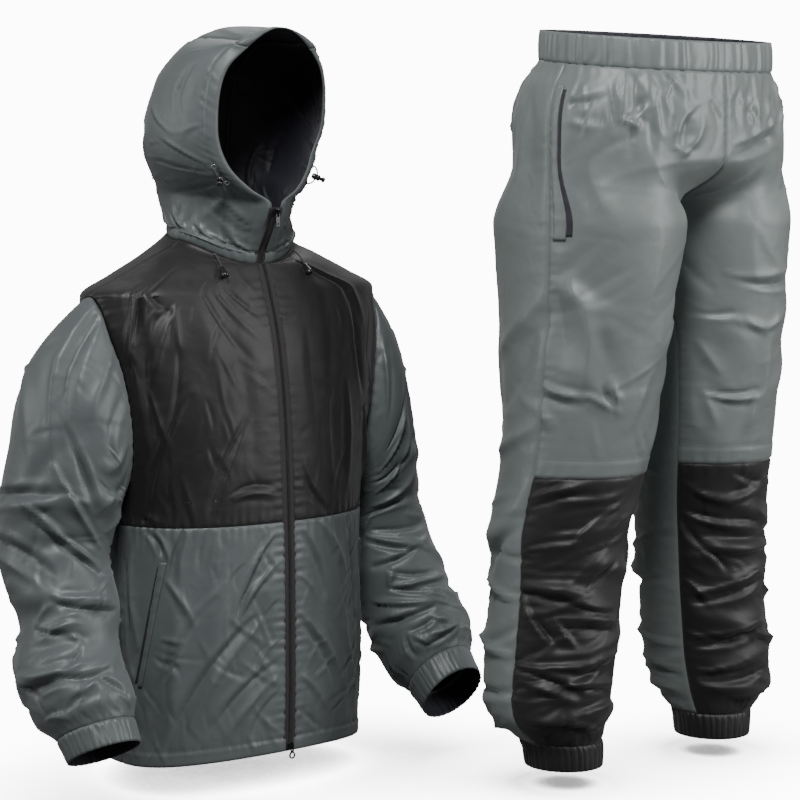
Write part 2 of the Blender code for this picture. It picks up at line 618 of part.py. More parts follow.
def rod(name, radius, length, slot, sides=20):
    """A cylinder about Z, centred on the origin."""
    mesh = bpy.data.meshes.new(name)
    made = bmesh.new()
    bmesh.ops.create_cone(made, cap_ends=True, segments=sides, radius1=radius, radius2=radius, depth=length)
    made.to_mesh(mesh)
    made.free()
    mesh.materials.append(MATERIALS[slot])
    obj = bpy.data.objects.new(name, mesh)
    COLLECTION.objects.link(obj)
    return obj


def boolean(target, tool, operation):
    """Cuts a helper from the target or joins it on, then hides the helper."""
    step = target.modifiers.new(operation.lower(), "BOOLEAN")
    step.operation = operation
    step.solver = "EXACT"
    step.object = tool
    tool.hide_render = True
    tool.hide_viewport = True
    return target


def place(obj, matrix):
    obj.matrix_world = matrix @ obj.matrix_world
    return obj


def frame_at(point, outward, up):
    """A matrix with local -Y outward and local Z along up."""
    y = -Vector(outward).normalized()
    z = (Vector(up) - Vector(up).dot(y) * y).normalized()
    x = y.cross(z)
    made = Matrix((x, y, z)).transposed().to_4x4()
    made.translation = Vector(point)
    return made


SLIDER_THICK, SLIDER_OFF = 0.0030, 0.0006
ARCH_REACH, ARCH_BAR, ARCH_WIDE, ARCH_TALL = 0.0048, 0.0014, 0.0022, 0.0088
PIVOT_OUT = SLIDER_OFF + SLIDER_THICK + (ARCH_REACH - ARCH_BAR) / 2


def slider(name, at_s, lean_sample):
    """A zip slider: a body in front of the tapes and an arch that its pull tab hangs from. Returns the tab's pivot."""
    y0, z0 = (float(value) for value in zip_line(np.array(at_s)))
    y1, z1 = (float(value) for value in zip_line(np.array(at_s + lean_sample)))
    up = Vector((0, y1 - y0, z1 - z0)).normalized()
    up = up if up.z > 0 else -up
    outward = Vector((0, -up.z, up.y))
    body = block(name, (0.0082, SLIDER_THICK, 0.0096), "black_metal", 0.0007)
    body.data.transform(Matrix.Translation((0, -SLIDER_OFF - SLIDER_THICK / 2, 0)))
    arch = block(f"{name}_arch", (ARCH_WIDE, ARCH_REACH + 0.001, ARCH_TALL), "black_metal")
    arch.data.transform(Matrix.Translation((0, -SLIDER_OFF - SLIDER_THICK - ARCH_REACH / 2 + 0.0005, 0)))
    hole = block(f"{name}_hole", (0.01, ARCH_REACH - ARCH_BAR, ARCH_TALL - 2 * ARCH_BAR), "black_metal")
    hole.data.transform(Matrix.Translation((0, -PIVOT_OUT, 0)))
    boolean(arch, hole, "DIFFERENCE")
    boolean(body, arch, "UNION")
    where = frame_at((0, y0, z0), outward, up)
    for obj in (body, arch, hole):
        place(obj, where)
    return Vector((0, y0, z0)) + outward * PIVOT_OUT


def pull_tab(name, pivot, length, half, ring):
    """A flat tab hanging plumb from its crossbar, with a window round the arch and an eye near its end."""
    thick = 0.0013
    tab = block(name, (2 * half, thick, length), "black_metal", 0.0003)
    tab.data.transform(Matrix.Translation((0, 0, -length / 2 + 0.0007)))
    window = block(f"{name}_window", (0.0036, 0.01, 0.0056), "black_metal")
    window.data.transform(Matrix.Translation((0, 0, -0.0007 - 0.0028)))
    boolean(tab, window, "DIFFERENCE")
    helpers = [window]
    if ring:
        disc = rod(f"{name}_ring", ring[0], thick, "black_metal", 24)
        disc.data.transform(Matrix.Rotation(math.pi / 2, 4, "X"))
        disc.data.transform(Matrix.Translation((0, 0, -length + 0.0007 - ring[0] * 0.7)))
        boolean(tab, disc, "UNION")
        eye_at, eye = -length + 0.0007 - ring[0] * 0.7, ring[1]
        helpers.append(disc)
    else:
        eye_at, eye = -length + 0.0045, 0.0015
    cut = rod(f"{name}_eye", eye, 0.01, "black_metal", 20)
    cut.data.transform(Matrix.Rotation(math.pi / 2, 4, "X"))
    cut.data.transform(Matrix.Translation((0, 0, eye_at)))
    boolean(tab, cut, "DIFFERENCE")
    for obj in (tab, *helpers, cut):
        place(obj, Matrix.Translation(pivot))
    return tab


top_pivot = slider("zip_slider_top", BAND_TOP + TOP_SLIDER_SHARE, -0.05)
low_pivot = slider("zip_slider_low", LOW_SLIDER, 0.01)
pull_tab("pull_top", top_pivot, 0.0205, 0.0033, None)
pull_tab("pull_low", low_pivot, 0.0105, 0.0030, (0.0053, 0.0033))
print("PIVOTS", [round(v, 5) for v in (*top_pivot, *low_pivot)])


def faceted(surface, us, vs):
    """The surface as its panel has it, flat between that panel's own points."""
    grid = grid_of(surface, us, vs)

    def flat(u, v):
        c, r = np.interp(u, us, np.arange(len(us))), np.interp(v, vs, np.arange(len(vs)))
        i = np.minimum(r.astype(int), len(vs) - 2)
        j = np.minimum(c.astype(int), len(us) - 2)
        a, b = (r - i)[..., None], (c - j)[..., None]
        low = grid[i, j] * (1 - b) + grid[i, j + 1] * b
        high = grid[i + 1, j] * (1 - b) + grid[i + 1, j + 1] * b
        return low * (1 - a) + high * a

    return flat


def welt(name, surface, first, last, half, axis, panel_rows):
    """A pocket welt: a narrow strip that lies on the cloth from first to last, with a bend wherever its panel has one."""
    bends = [(v - first[1]) / (last[1] - first[1]) for v in panel_rows]
    stops = sorted([0.0, 1.0] + [t for t in bends if 0.03 < t < 0.97])
    rows = len(stops)
    grid = []
    for t in stops:
        u = first[0] + (last[0] - first[0]) * t
        v = first[1] + (last[1] - first[1]) * t
        grid.append([surface(np.array(u + side * half), np.array(v)) for side in (-1, -0.33, 0.33, 1)])
    grid = np.array(grid)
    lifted = grid.copy()
    for r in range(rows):
        for c in range(4):
            up = grid[min(r + 1, rows - 1), c] - grid[max(r - 1, 0), c]
            over = grid[r, min(c + 1, 3)] - grid[r, max(c - 1, 0)]
            n = np.cross(over, up)
            n /= np.linalg.norm(n)
            if np.dot(n, grid[r, c] - axis(grid[r, c][None])[0]) < 0:
                n = -n
            lifted[r, c] += n * (WALL + 0.0006)
    return cloth_panel(name, lifted, "slate_cloth", axis)


for side, tag in ((RIGHT, "r"), (LEFT, "l")):
    turns = np.sort(np.linspace(side * zip_turn(HEM) / 100, side * 0.90, 10))
    panel_rows = np.linspace(HEM, YOKE_SEAM, 8)
    panel = faceted(torso, turns, panel_rows)
    welt(f"pocket_welt_{tag}", panel, (side * 0.60, -0.438), (side * 0.75, -0.619), 0.016, BODY_AXIS, panel_rows)

# Trousers
for side, tag in ((RIGHT, "r"), (LEFT, "l")):
    half_trousers = leg_surface(side)
    leg_axis = upright_axis(TROUSER_PLACE[0] + side * 0.13, TROUSER_PLACE[1] + 0.035)
    fork_rows = np.array([BAND_LOW, 0.20, 0.15, 0.11, 0.08, 0.055, 0.03, -0.01, -0.06, -0.12, -0.18, -0.24])
    uppers = np.append(fork_rows, [-0.285, KNEE])[::-1]
    lowers = np.linspace(ANKLE_BAND, KNEE, 12)
    shares = np.linspace(0, 1, 10)
    grid = grid_of(half_trousers, shares, uppers)
    cloth_panel(f"trouser_front_{tag}", grid, "slate_cloth", leg_axis, (FLAT_GAP, FLAT_GAP, BENT_GAP, FLAT_GAP))
    grid = grid_of(half_trousers, np.linspace(0, 1, 9), lowers)
    cloth_panel(f"shin_front_{tag}", grid, "black_cloth", leg_axis, (BENT_GAP, FLAT_GAP, FLAT_GAP, FLAT_GAP))
    grid = grid_of(half_trousers, np.linspace(1, 2, 11), np.append(lowers[:-1], uppers))
    cloth_panel(f"trouser_back_{tag}", grid, "slate_cloth", leg_axis, (BENT_GAP, FLAT_GAP, FLAT_GAP, BENT_GAP))
    panel = faceted(half_trousers, shares, uppers)
    welt(f"trouser_welt_{tag}", panel, (0.945, 0.226), (0.955, 0.012), 0.026, leg_axis, uppers)


def ankle_surface(side):
    base = leg_base(side)
    place_at = np.array([TROUSER_PLACE[0], TROUSER_PLACE[1], 0])

    def around(u, height):
        turn = np.radians(u * 100)
        out = np.stack([
            (column(LEG, 1, height) - column(LEG, 3, height) * np.cos(turn)) * side,
            column(LEG, 2, height) - column(LEG, 4, height) * np.sin(turn),
            height + 0 * turn,
        ], axis=-1)
        return out + place_at

    shape = gathered(around, ANKLE_WAVES, 0.0012 * side)
    return shape


for side, tag in ((RIGHT, "r"), (LEFT, "l")):
    ring_panel(f"ankle_{tag}", ankle_surface(side), np.linspace(ANKLE, ANKLE_BAND, 2), ANKLE_WAVES * 4,
               "black_cloth", (0, BENT_GAP))
ring_panel("waistband", gathered(waist_base, WAIST_WAVES, 0.0012), np.linspace(BAND_LOW, WAIST_TOP, 2),
           WAIST_WAVES * 4, "slate_cloth", (0.0001, 0))


def tube(name, points, diameter, slot):
    """A round cord along these points, with closed ends."""
    curve = bpy.data.curves.new(name, "CURVE")
    curve.dimensions = "3D"
    curve.bevel_depth = diameter / 2
    curve.bevel_resolution = 1
    curve.use_fill_caps = True
    spline = curve.splines.new("POLY")
    spline.points.add(len(points) - 1)
    for place_in, point in zip(spline.points, points):
        place_in.co = (*point, 1)
    curve.materials.append(MATERIALS[slot])
    obj = bpy.data.objects.new(name, curve)
    COLLECTION.objects.link(obj)
    return obj


def through(points, count):
    """Evenly spread points on a smooth curve through these points."""
    knots = np.array(points, float)
    at = np.concatenate([[0], np.cumsum(np.linalg.norm(np.diff(knots, axis=0), axis=1))])
    even = np.linspace(0, at[-1], count)
    return np.stack([column(np.column_stack([at, knots]), i, even) for i in (1, 2, 3)], axis=-1)


# Hood cord locks. Each stands out from the hood on its loop of cord, with its plunger outermost.
CORD = 0.0023
EYELET_OUT, EYELET_HOLE, EYELET_THICK = 0.0040, 0.0018, 0.0010
LOCK_BARREL, LOCK_LENGTH, LOCK_BORE = 0.0044, 0.0115, 0.0030
PLUNGER_STEM, PLUNGER_KNOB, KNOB_LENGTH, LOCK_GAP = 0.0026, 0.0041, 0.0055, 0.0036
LOCK_FLOOR = 0.0011  # thickness of the barrel's closed end
PLUNGER_LEG, PLUNGER_SLOT = 0.0014, 0.0048  # below the cord, then how far the slot for the cord reaches above it
LOOP_TOP, LOOP_LOW, LOOP_OUT = 0.421, 0.336, 0.0125  # shares up the face edge, then distance from the hood
LOOP_IN = 0.075  # share of the way back from the face edge


def surface_frame(surface, u, v, middle):
    """A point of a surface with its outward normal."""
    step = 1e-3
    at = surface(np.array(u), np.array(v))
    across = surface(np.array(u + step), np.array(v)) - surface(np.array(u - step), np.array(v))
    along = surface(np.array(u), np.array(v + step)) - surface(np.array(u), np.array(v - step))
    normal = np.cross(across, along)
    normal /= np.linalg.norm(normal)
    if np.dot(normal, at - middle) < 0:
        normal = -normal
    return Vector(at), Vector(normal)


def eyelet(name, at, normal):
    ring = rod(name, EYELET_OUT, EYELET_THICK, "eyelet_metal", 16)
    hole = rod(f"{name}_hole", EYELET_HOLE, 0.01, "eyelet_metal", 12)
    boolean(ring, hole, "DIFFERENCE")
    where = normal.to_track_quat("Z", "Y").to_matrix().to_4x4()
    where.translation = at + normal * (EYELET_THICK / 2 + 0.0005)
    for obj in (ring, hole):
        place(obj, where)


for side, tag in ((RIGHT, "r"), (LEFT, "l")):
    shares = np.linspace(0, 1, 12)
    hood_side = faceted(hood_side_surface(side), shares, shares)
    high, high_out = surface_frame(hood_side, LOOP_IN, LOOP_TOP, HOOD_MIDDLE)
    low, low_out = surface_frame(hood_side, LOOP_IN, LOOP_LOW, HOOD_MIDDLE)
    eyelet(f"hood_eyelet_{tag}_top", high, high_out)
    eyelet(f"hood_eyelet_{tag}_low", low, low_out)
    outward = (high_out + low_out).normalized()
    down = (low - high).normalized()
    start, end = high + high_out * 0.0003, low + low_out * 0.0003
    middle = (high + low) / 2 + outward * LOOP_OUT
    half_bore = down * (LOCK_BARREL + 0.002)
    path = [start, start + high_out * 0.006, middle - half_bore, middle, middle + half_bore,
            end + low_out * 0.006, end]
    loop = through(path, 16)
    tube(f"hood_cord_{tag}", loop, CORD, "cord_black")
    print("LOOP", tag, [round(v, 5) for v in (*loop[0], *loop[-1])],
          round(float(np.linalg.norm(np.diff(loop, axis=0), axis=1).sum()), 4))
    where = outward.to_track_quat("Z", "Y").to_matrix().to_4x4()
    where.translation = middle
    turn_cord = (where.inverted().to_3x3() @ down).to_track_quat("Z", "Y").to_matrix().to_4x4()
    barrel = rod(f"lock_barrel_{tag}", LOCK_BARREL, LOCK_LENGTH, "black_plastic", 16)
    bore = rod(f"lock_bore_{tag}", LOCK_BORE, LOCK_LENGTH, "black_plastic", 16)
    bore.data.transform(Matrix.Translation((0, 0, LOCK_FLOOR)))
    across = rod(f"lock_cord_hole_{tag}", CORD / 2 + 0.0005, 0.02, "black_plastic", 12)
    across.data.transform(turn_cord)
    boolean(barrel, bore, "DIFFERENCE")
    boolean(barrel, across, "DIFFERENCE")
    top = LOCK_LENGTH / 2
    knob_low = top + LOCK_GAP
    stem = rod(f"lock_plunger_{tag}", PLUNGER_STEM, knob_low + PLUNGER_LEG, "black_plastic", 16)
    stem.data.transform(Matrix.Translation((0, 0, (knob_low - PLUNGER_LEG) / 2)))
    slot_cut = block(f"lock_slot_{tag}", (CORD + 0.0008, 0.02, PLUNGER_SLOT + 2 * PLUNGER_LEG), "black_plastic")
    slot_cut.data.transform(Matrix.Translation((0, 0, PLUNGER_SLOT / 2 - PLUNGER_LEG)))
    slot_cut.data.transform(Matrix.Rotation(math.atan2(turn_cord[1][2], turn_cord[0][2]) - math.pi / 2, 4, "Z"))
    knob = rod(f"lock_knob_{tag}", PLUNGER_KNOB, KNOB_LENGTH, "black_plastic", 16)
    knob.data.transform(Matrix.Translation((0, 0, knob_low - 0.0003 + KNOB_LENGTH / 2)))
    boolean(stem, slot_cut, "DIFFERENCE")
    boolean(stem, knob, "UNION")
    for obj in (barrel, bore, across, stem, slot_cut, knob):
        place(obj, where)
    print("LOCK", tag, [round(v, 5) for v in (*middle, *outward)])

# Ends of the neck's drawcord, each through a toggle
TOGGLE_LENGTH, TOGGLE_HALF, NECK_TURN = 0.0175, 0.0056, 44.0
TOGGLE_END = (0.075, -0.0865, -0.041)  # where the cord ends, on the wearer's left
for side, tag in ((RIGHT, "r"), (LEFT, "l")):
    at, out = surface_frame(torso, side * NECK_TURN / 100, NECK - 0.003, np.array([0, 0.02, -0.02]))
    start = at + out * (WALL + 0.0012)
    end = Vector((side * TOGGLE_END[0], TOGGLE_END[1], TOGGLE_END[2]))
    hang = start * 0.72 + end * 0.28 + out * 0.0052
    path = through([start, start + out * 0.0024, hang, (hang + end) / 2, end], 16)
    tube(f"neck_cord_{tag}", path, CORD, "cord_black")
    print("NECK", tag, [round(v, 5) for v in (*path[0], *path[-1])],
          round(float(np.linalg.norm(np.diff(path, axis=0), axis=1).sum()), 4))
    line = (end - hang).normalized()
    toggle = rod(f"neck_toggle_{tag}", TOGGLE_HALF, TOGGLE_LENGTH, "black_plastic", 20)
    for vertex in toggle.data.vertices:
        if vertex.co.z > 0:
            vertex.co.x *= 0.62
            vertex.co.y *= 0.62
    bore = rod(f"toggle_bore_{tag}", CORD / 2 + 0.0005, 0.05, "black_plastic", 20)
    boolean(toggle, bore, "DIFFERENCE")
    where = (-line).to_track_quat("Z", "Y").to_matrix().to_4x4()
    where.translation = end - line * (TOGGLE_LENGTH / 2 + 0.0006)
    for obj in (toggle, bore):
        place(obj, where)
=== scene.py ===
"""The looks of the rain suit: thin cloth shells with their creases and gathers, sewing, zip, locks and light.

Metres, +Z up, the fronts face -Y. The tables and surfaces are the ones that the solids were made from.
"""

import math

import bmesh
import bpy
import numpy as np
from mathutils import Matrix, Vector


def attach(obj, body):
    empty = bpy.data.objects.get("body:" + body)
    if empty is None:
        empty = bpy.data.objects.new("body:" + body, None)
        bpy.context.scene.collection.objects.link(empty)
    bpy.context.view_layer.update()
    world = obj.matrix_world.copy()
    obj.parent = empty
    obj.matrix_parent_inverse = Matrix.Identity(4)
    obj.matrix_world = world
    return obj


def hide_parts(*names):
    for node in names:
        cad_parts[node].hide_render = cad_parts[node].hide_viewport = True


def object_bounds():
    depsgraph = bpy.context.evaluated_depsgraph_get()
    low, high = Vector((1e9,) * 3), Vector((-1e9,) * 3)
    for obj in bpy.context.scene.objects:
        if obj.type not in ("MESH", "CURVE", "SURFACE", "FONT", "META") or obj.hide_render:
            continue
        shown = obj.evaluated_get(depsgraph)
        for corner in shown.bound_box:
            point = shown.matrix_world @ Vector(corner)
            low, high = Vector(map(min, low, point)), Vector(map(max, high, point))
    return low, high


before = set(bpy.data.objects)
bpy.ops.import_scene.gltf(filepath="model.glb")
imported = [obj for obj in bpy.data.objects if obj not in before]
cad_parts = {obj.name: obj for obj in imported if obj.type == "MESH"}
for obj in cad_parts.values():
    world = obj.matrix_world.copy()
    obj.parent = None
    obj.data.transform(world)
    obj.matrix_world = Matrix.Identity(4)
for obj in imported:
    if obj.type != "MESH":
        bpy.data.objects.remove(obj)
CAD_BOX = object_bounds()

RIGHT, LEFT = -1, 1  # the wearer's sides, as signs of X
WALL = 0.0012  # cloth wall
FLAT_GAP = 0.0003  # a gap from a smooth seam
BENT_GAP = 0.0006  # and a gap from a seam where the cloth turns
ZIP_HALF = 0.0072  # half the space between the two front edges

# Jacket body, by height. Columns: height at the side, front height added, back height added,
# half width, front depth, back depth, squareness
TORSO = np.array([
    (-0.735, 0.012, -0.006, 0.200, 0.131, 0.184, 2.2),
    (-0.600, 0.006, -0.002, 0.201, 0.134, 0.180, 2.2),
    (-0.480, 0.000, 0.000, 0.201, 0.134, 0.172, 2.2),
    (-0.390, 0.000, 0.000, 0.201, 0.132, 0.162, 2.3),
    (-0.330, 0.000, 0.000, 0.208, 0.130, 0.156, 2.3),
    (-0.250, 0.000, 0.000, 0.222, 0.125, 0.150, 2.3),
    (-0.170, 0.000, 0.000, 0.236, 0.116, 0.142, 2.3),
    (-0.110, 0.000, 0.000, 0.246, 0.104, 0.130, 2.3),
    (-0.066, 0.000, 0.000, 0.246, 0.090, 0.118, 2.3),
    (-0.040, -0.004, 0.004, 0.200, 0.082, 0.108, 2.2),
    (-0.012, -0.012, 0.014, 0.140, 0.073, 0.096, 2.1),
    (0.010, -0.036, 0.030, 0.098, 0.067, 0.088, 2.0),
    (0.026, -0.034, 0.030, 0.098, 0.070, 0.088, 2.0),
])
HEM, YOKE_SEAM, UNDERARM, SHOULDER, NECK, BAND_TOP = -0.735, -0.390, -0.352, -0.066, 0.010, 0.026
ARMHOLE_IN = 21.0  # degrees that the armhole curves in from the side

# Sleeves. Columns: length along the arm; x of the ring's centre, right then left; y, right then left;
# height; half width, right then left; half depth; rise of the outer side; lean to the front in degrees,
# right then left
ARM = np.array([
    (0.000, 0.235, 0.232, 0.002, 0.002, -0.209, 0.022, 0.020, 0.080, 0.143, 0, 0),
    (0.090, 0.263, 0.249, 0.010, 0.010, -0.250, 0.055, 0.041, 0.086, 0.111, 0, 0),
    (0.190, 0.283, 0.266, 0.018, 0.018, -0.330, 0.072, 0.056, 0.086, 0.060, 2, 2),
    (0.250, 0.292, 0.278, 0.024, 0.022, -0.385, 0.077, 0.061, 0.081, 0.035, 4, 4),
    (0.300, 0.295, 0.288, 0.022, 0.020, -0.435, 0.077, 0.069, 0.078, 0.015, 12, 10),
    (0.355, 0.292, 0.292, -0.006, -0.008, -0.500, 0.070, 0.070, 0.076, 0.000, 22, 24),
    (0.440, 0.310, 0.305, -0.032, -0.045, -0.575, 0.073, 0.073, 0.078, 0.000, 26, 34),
    (0.505, 0.310, 0.310, -0.075, -0.082, -0.630, 0.070, 0.070, 0.074, 0.000, 28, 44),
    (0.535, 0.308, 0.310, -0.094, -0.100, -0.650, 0.056, 0.056, 0.058, 0.000, 28, 50),
    (0.575, 0.307, 0.310, -0.116, -0.132, -0.682, 0.050, 0.050, 0.052, 0.000, 28, 54),
])
CUFF_TOP, ARM_END = 0.540, 0.575

# Hood. The face edge from the neck to the brim, right then left half width, y and z.
FACE = np.array([
    (0.00, 0.0072, 0.0072, -0.070, -0.006),
    (0.12, 0.0072, 0.0072, -0.092, 0.030),
    (0.22, 0.0080, 0.0080, -0.106, 0.060),
    (0.30, 0.0400, 0.0340, -0.105, 0.080),
    (0.40, 0.0720, 0.0560, -0.102, 0.106),
    (0.50, 0.0880, 0.0680, -0.099, 0.132),
    (0.62, 0.0955, 0.0850, -0.098, 0.167),
    (0.77, 0.0930, 0.0900, -0.099, 0.213),
    (0.90, 0.0790, 0.0800, -0.104, 0.254),
    (1.00, 0.0520, 0.0560, -0.111, 0.280),
])
# The seam of the hood's centre panel from the nape to the brim: share, half width, y, z
CROWN = np.array([
    (0.00, 0.046, 0.079, 0.055),
    (0.20, 0.052, 0.091, 0.090),
    (0.45, 0.058, 0.092, 0.160),
    (0.65, 0.060, 0.082, 0.222),
    (0.80, 0.060, 0.052, 0.270),
    (0.90, 0.058, -0.004, 0.296),
    (1.00, 0.050, -0.096, 0.290),
])

# Trousers, from their own centre line. Columns: height, half width, front depth, back depth
HIPS = np.array([
    (0.300, 0.186, 0.128, 0.140),
    (0.258, 0.188, 0.130, 0.144),
    (0.225, 0.206, 0.133, 0.168),
    (0.165, 0.217, 0.134, 0.190),
    (0.080, 0.217, 0.134, 0.190),
    (0.030, 0.217, 0.134, 0.185),
    (-0.050, 0.217, 0.134, 0.180),
])
# Each leg. Columns: height, centre x, centre y, half width, half depth
LEG = np.array([
    (0.160, 0.112, 0.028, 0.1115, 0.158),
    (0.030, 0.112, 0.026, 0.1115, 0.152),
    (-0.050, 0.116, 0.026, 0.106, 0.142),
    (-0.150, 0.121, 0.026, 0.105, 0.130),
    (-0.250, 0.128, 0.028, 0.102, 0.118),
    (-0.320, 0.134, 0.034, 0.100, 0.110),
    (-0.400, 0.146, 0.046, 0.097, 0.104),
    (-0.500, 0.152, 0.048, 0.092, 0.099),
    (-0.600, 0.163, 0.048, 0.092, 0.097),
    (-0.660, 0.170, 0.045, 0.088, 0.093),
    (-0.695, 0.164, 0.036, 0.070, 0.074),
    (-0.712, 0.158, 0.028, 0.058, 0.061),
    (-0.746, 0.156, 0.024, 0.054, 0.057),
])
TROUSER_PLACE = (0.471, -0.395)  # centre line of the trousers in the jacket's frame
WAIST_TOP, BAND_LOW, FORK_TOP, FORK_LOW = 0.300, 0.258, 0.135, 0.030
KNEE, ANKLE_BAND, ANKLE = -0.322, -0.709, -0.746
INSEAM_TURN, SIDE_TURN = 22.0, 168.0  # degrees round the leg from its inmost line

# Largest folds of the jacket's body. Columns: degrees from the front centre, height, the same for
# the other end, half width of the fold, height of the fold (below nought for a trough)
BODY_FOLDS = np.array([
    (-64, -0.06, -63, -0.28, 0.013, 0.0050), (-52, -0.08, -56, -0.24, 0.012, -0.0035),
    (62, -0.08, 63, -0.26, 0.013, 0.0045), (-28, -0.05, -22, -0.20, 0.014, 0.0030),
    (-16, -0.03, -12, -0.30, 0.012, -0.0025), (20, -0.04, 17, -0.24, 0.013, 0.0030),
    (-48, -0.30, -75, -0.38, 0.014, 0.0035), (52, -0.29, 74, -0.37, 0.014, 0.0035),
    (-30, -0.42, -36, -0.66, 0.018, 0.0040), (-50, -0.45, -57, -0.70, 0.016, 0.0045),
    (-80, -0.42, -84, -0.70, 0.018, 0.0040), (28, -0.44, 33, -0.70, 0.018, 0.0040),
    (74, -0.44, 80, -0.70, 0.018, 0.0040), (-12, -0.50, -14, -0.70, 0.014, -0.0030),
    (12, -0.46, 13, -0.68, 0.014, -0.0030), (118, -0.12, 126, -0.40, 0.018, 0.0045),
    (-118, -0.12, -124, -0.42, 0.018, 0.0045), (150, -0.30, 146, -0.68, 0.020, 0.0050),
    (-146, -0.28, -150, -0.70, 0.020, 0.0050), (176, -0.10, 172, -0.50, 0.020, -0.0035),
])
# Largest folds of a sleeve: degrees round it from the outer side, length along it, twice, then sizes
ARM_FOLDS = np.array([
    (20, 0.07, 60, 0.17, 0.012, 0.0040), (-30, 0.10, 20, 0.19, 0.012, 0.0045),
    (70, 0.12, 20, 0.24, 0.011, -0.0040), (120, 0.17, 60, 0.24, 0.012, 0.0045),
    (0, 0.26, 70, 0.22, 0.012, 0.0060), (20, 0.30, 100, 0.27, 0.012, -0.0060),
    (-20, 0.33, 60, 0.35, 0.013, 0.0070), (40, 0.39, 130, 0.33, 0.012, 0.0055),
    (10, 0.41, 90, 0.42, 0.012, -0.0060), (-30, 0.46, 50, 0.44, 0.013, 0.0070),
    (60, 0.49, 140, 0.43, 0.012, 0.0055), (-10, 0.51, 70, 0.50, 0.010, -0.0045),
    (180, 0.28, 240, 0.22, 0.013, 0.0060), (190, 0.36, 260, 0.33, 0.013, 0.0060),
    (170, 0.44, 240, 0.46, 0.013, 0.0060), (230, 0.12, 280, 0.20, 0.012, 0.0045),
    (300, 0.20, 330, 0.30, 0.013, 0.0045), (280, 0.42, 330, 0.40, 0.013, 0.0055),
])
# Largest folds of a leg: share round it (0 centre front or inseam, 1 side, 2 centre back), height, twice
LEG_FOLDS = np.array([
    (0.15, 0.20, 0.10, 0.06, 0.018, 0.0040), (0.45, 0.18, 0.38, -0.12, 0.020, 0.0040),
    (0.75, 0.10, 0.60, -0.20, 0.020, 0.0045), (0.10, -0.02, 0.40, -0.16, 0.018, 0.0050),
    (0.94, -0.05, 0.70, -0.12, 0.014, 0.0050), (0.95, -0.14, 0.62, -0.22, 0.014, 0.0045),
    (0.10, -0.22, 0.30, -0.30, 0.016, 0.0040), (0.20, -0.36, 0.80, -0.42, 0.013, 0.0060),
    (0.10, -0.47, 0.60, -0.44, 0.013, 0.0060), (0.85, -0.47, 0.40, -0.53, 0.014, 0.0070),
    (0.15, -0.55, 0.70, -0.58, 0.014, 0.0070), (0.90, -0.60, 0.30, -0.63, 0.014, 0.0075),
    (0.10, -0.66, 0.60, -0.67, 0.012, 0.0070), (0.95, -0.68, 0.65, -0.66, 0.012, 0.0060),
    (1.10, -0.40, 1.60, -0.45, 0.014, 0.0060), (1.85, -0.48, 1.35, -0.53, 0.014, 0.0070),
    (1.15, -0.56, 1.70, -0.60, 0.014, 0.0070), (1.90, -0.64, 1.30, -0.66, 0.014, 0.0070),
    (1.20, 0.15, 1.40, -0.20, 0.020, 0.0045), (1.70, 0.05, 1.50, -0.22, 0.020, 0.0045),
])
# Folds of each hood side: share up from the neck, share from the face edge to the crown seam, twice
HOOD_FOLDS = np.array([
    (0.05, 0.25, 0.30, 0.30, 0.010, 0.0040), (0.05, 0.55, 0.35, 0.50, 0.011, -0.0035),
    (0.05, 0.80, 0.30, 0.70, 0.010, 0.0040), (0.45, 0.55, 0.80, 0.40, 0.012, 0.0030),
])


def column(table, index, at):
    """A smooth curve through one column of a table, at these values of its first column."""
    x, y = table[:, 0], table[:, index]
    if x[0] > x[-1]:
        x, y = x[::-1], y[::-1]
    slopes = np.gradient(y, x)
    steps = np.diff(y) / np.diff(x)
    for i in range(1, len(x) - 1):
        most = 3 * min(abs(steps[i - 1]), abs(steps[i]))
        slopes[i] = 0.0 if steps[i - 1] * steps[i] <= 0 else float(np.clip(slopes[i], -most, most))
    at = np.clip(np.asarray(at, float), x[0], x[-1])
    i = np.clip(np.searchsorted(x, at, side="right") - 1, 0, len(x) - 2)
    width = x[i + 1] - x[i]
    t = (at - x[i]) / width
    first = (1 + 2 * t) * (1 - t) ** 2 * y[i] + t * (1 - t) ** 2 * width * slopes[i]
    second = t * t * (3 - 2 * t) * y[i + 1] - t * t * (1 - t) * width * slopes[i + 1]
    return first + second


def ease(x):
    """0 below 0, 1 above 1 and smooth between."""
    x = np.clip(x, 0, 1)
    return x * x * (3 - 2 * x)


def power_ring(turn, half_x, half_y, squareness):
    """x to the side and y to the back at this many degrees from the front."""
    s, c = np.sin(np.radians(turn)), np.cos(np.radians(turn))
    x = half_x * np.sign(s) * np.abs(s) ** (2 / squareness)
    y = -half_y * np.sign(c) * np.abs(c) ** (2 / squareness)
    return x, y


def folds_at(table, across, along, across_scale, wrap=None):
    """How far the folds of a table lift the cloth at each point: long soft ridges and troughs that fade out at their ends."""
    total = np.zeros(np.broadcast(across, along).shape)
    for a0, b0, a1, b1, half, lift in table:
        da = across - a0
        if wrap:
            da = (da + wrap / 2) % wrap - wrap / 2
        px, py = da * across_scale, along - b0
        dx, dy = (a1 - a0) * across_scale, b1 - b0
        length = math.hypot(dx, dy)
        t = np.clip((px * dx + py * dy) / length**2, 0, 1)
        away = np.hypot(px - t * dx, py - t * dy)
        total = total + lift * np.exp(-((away / half) ** 2)) * np.sin(math.pi * (0.12 + 0.76 * t))
    return total


def raised(surface, lift):
    """The surface moved out along its own normal by lift(u, v)."""
    step = 1e-3

    def moved(u, v):
        u, v = np.asarray(u, float), np.asarray(v, float)
        height = lift(u, v)
        du = surface(u + step, v) - surface(u - step, v)
        dv = surface(u, v + step) - surface(u, v - step)
        normal = np.cross(du, dv)
        length = np.linalg.norm(normal, axis=-1, keepdims=True)
        return surface(u, v) + normal / np.maximum(length, 1e-12) * height[..., None]

    return moved


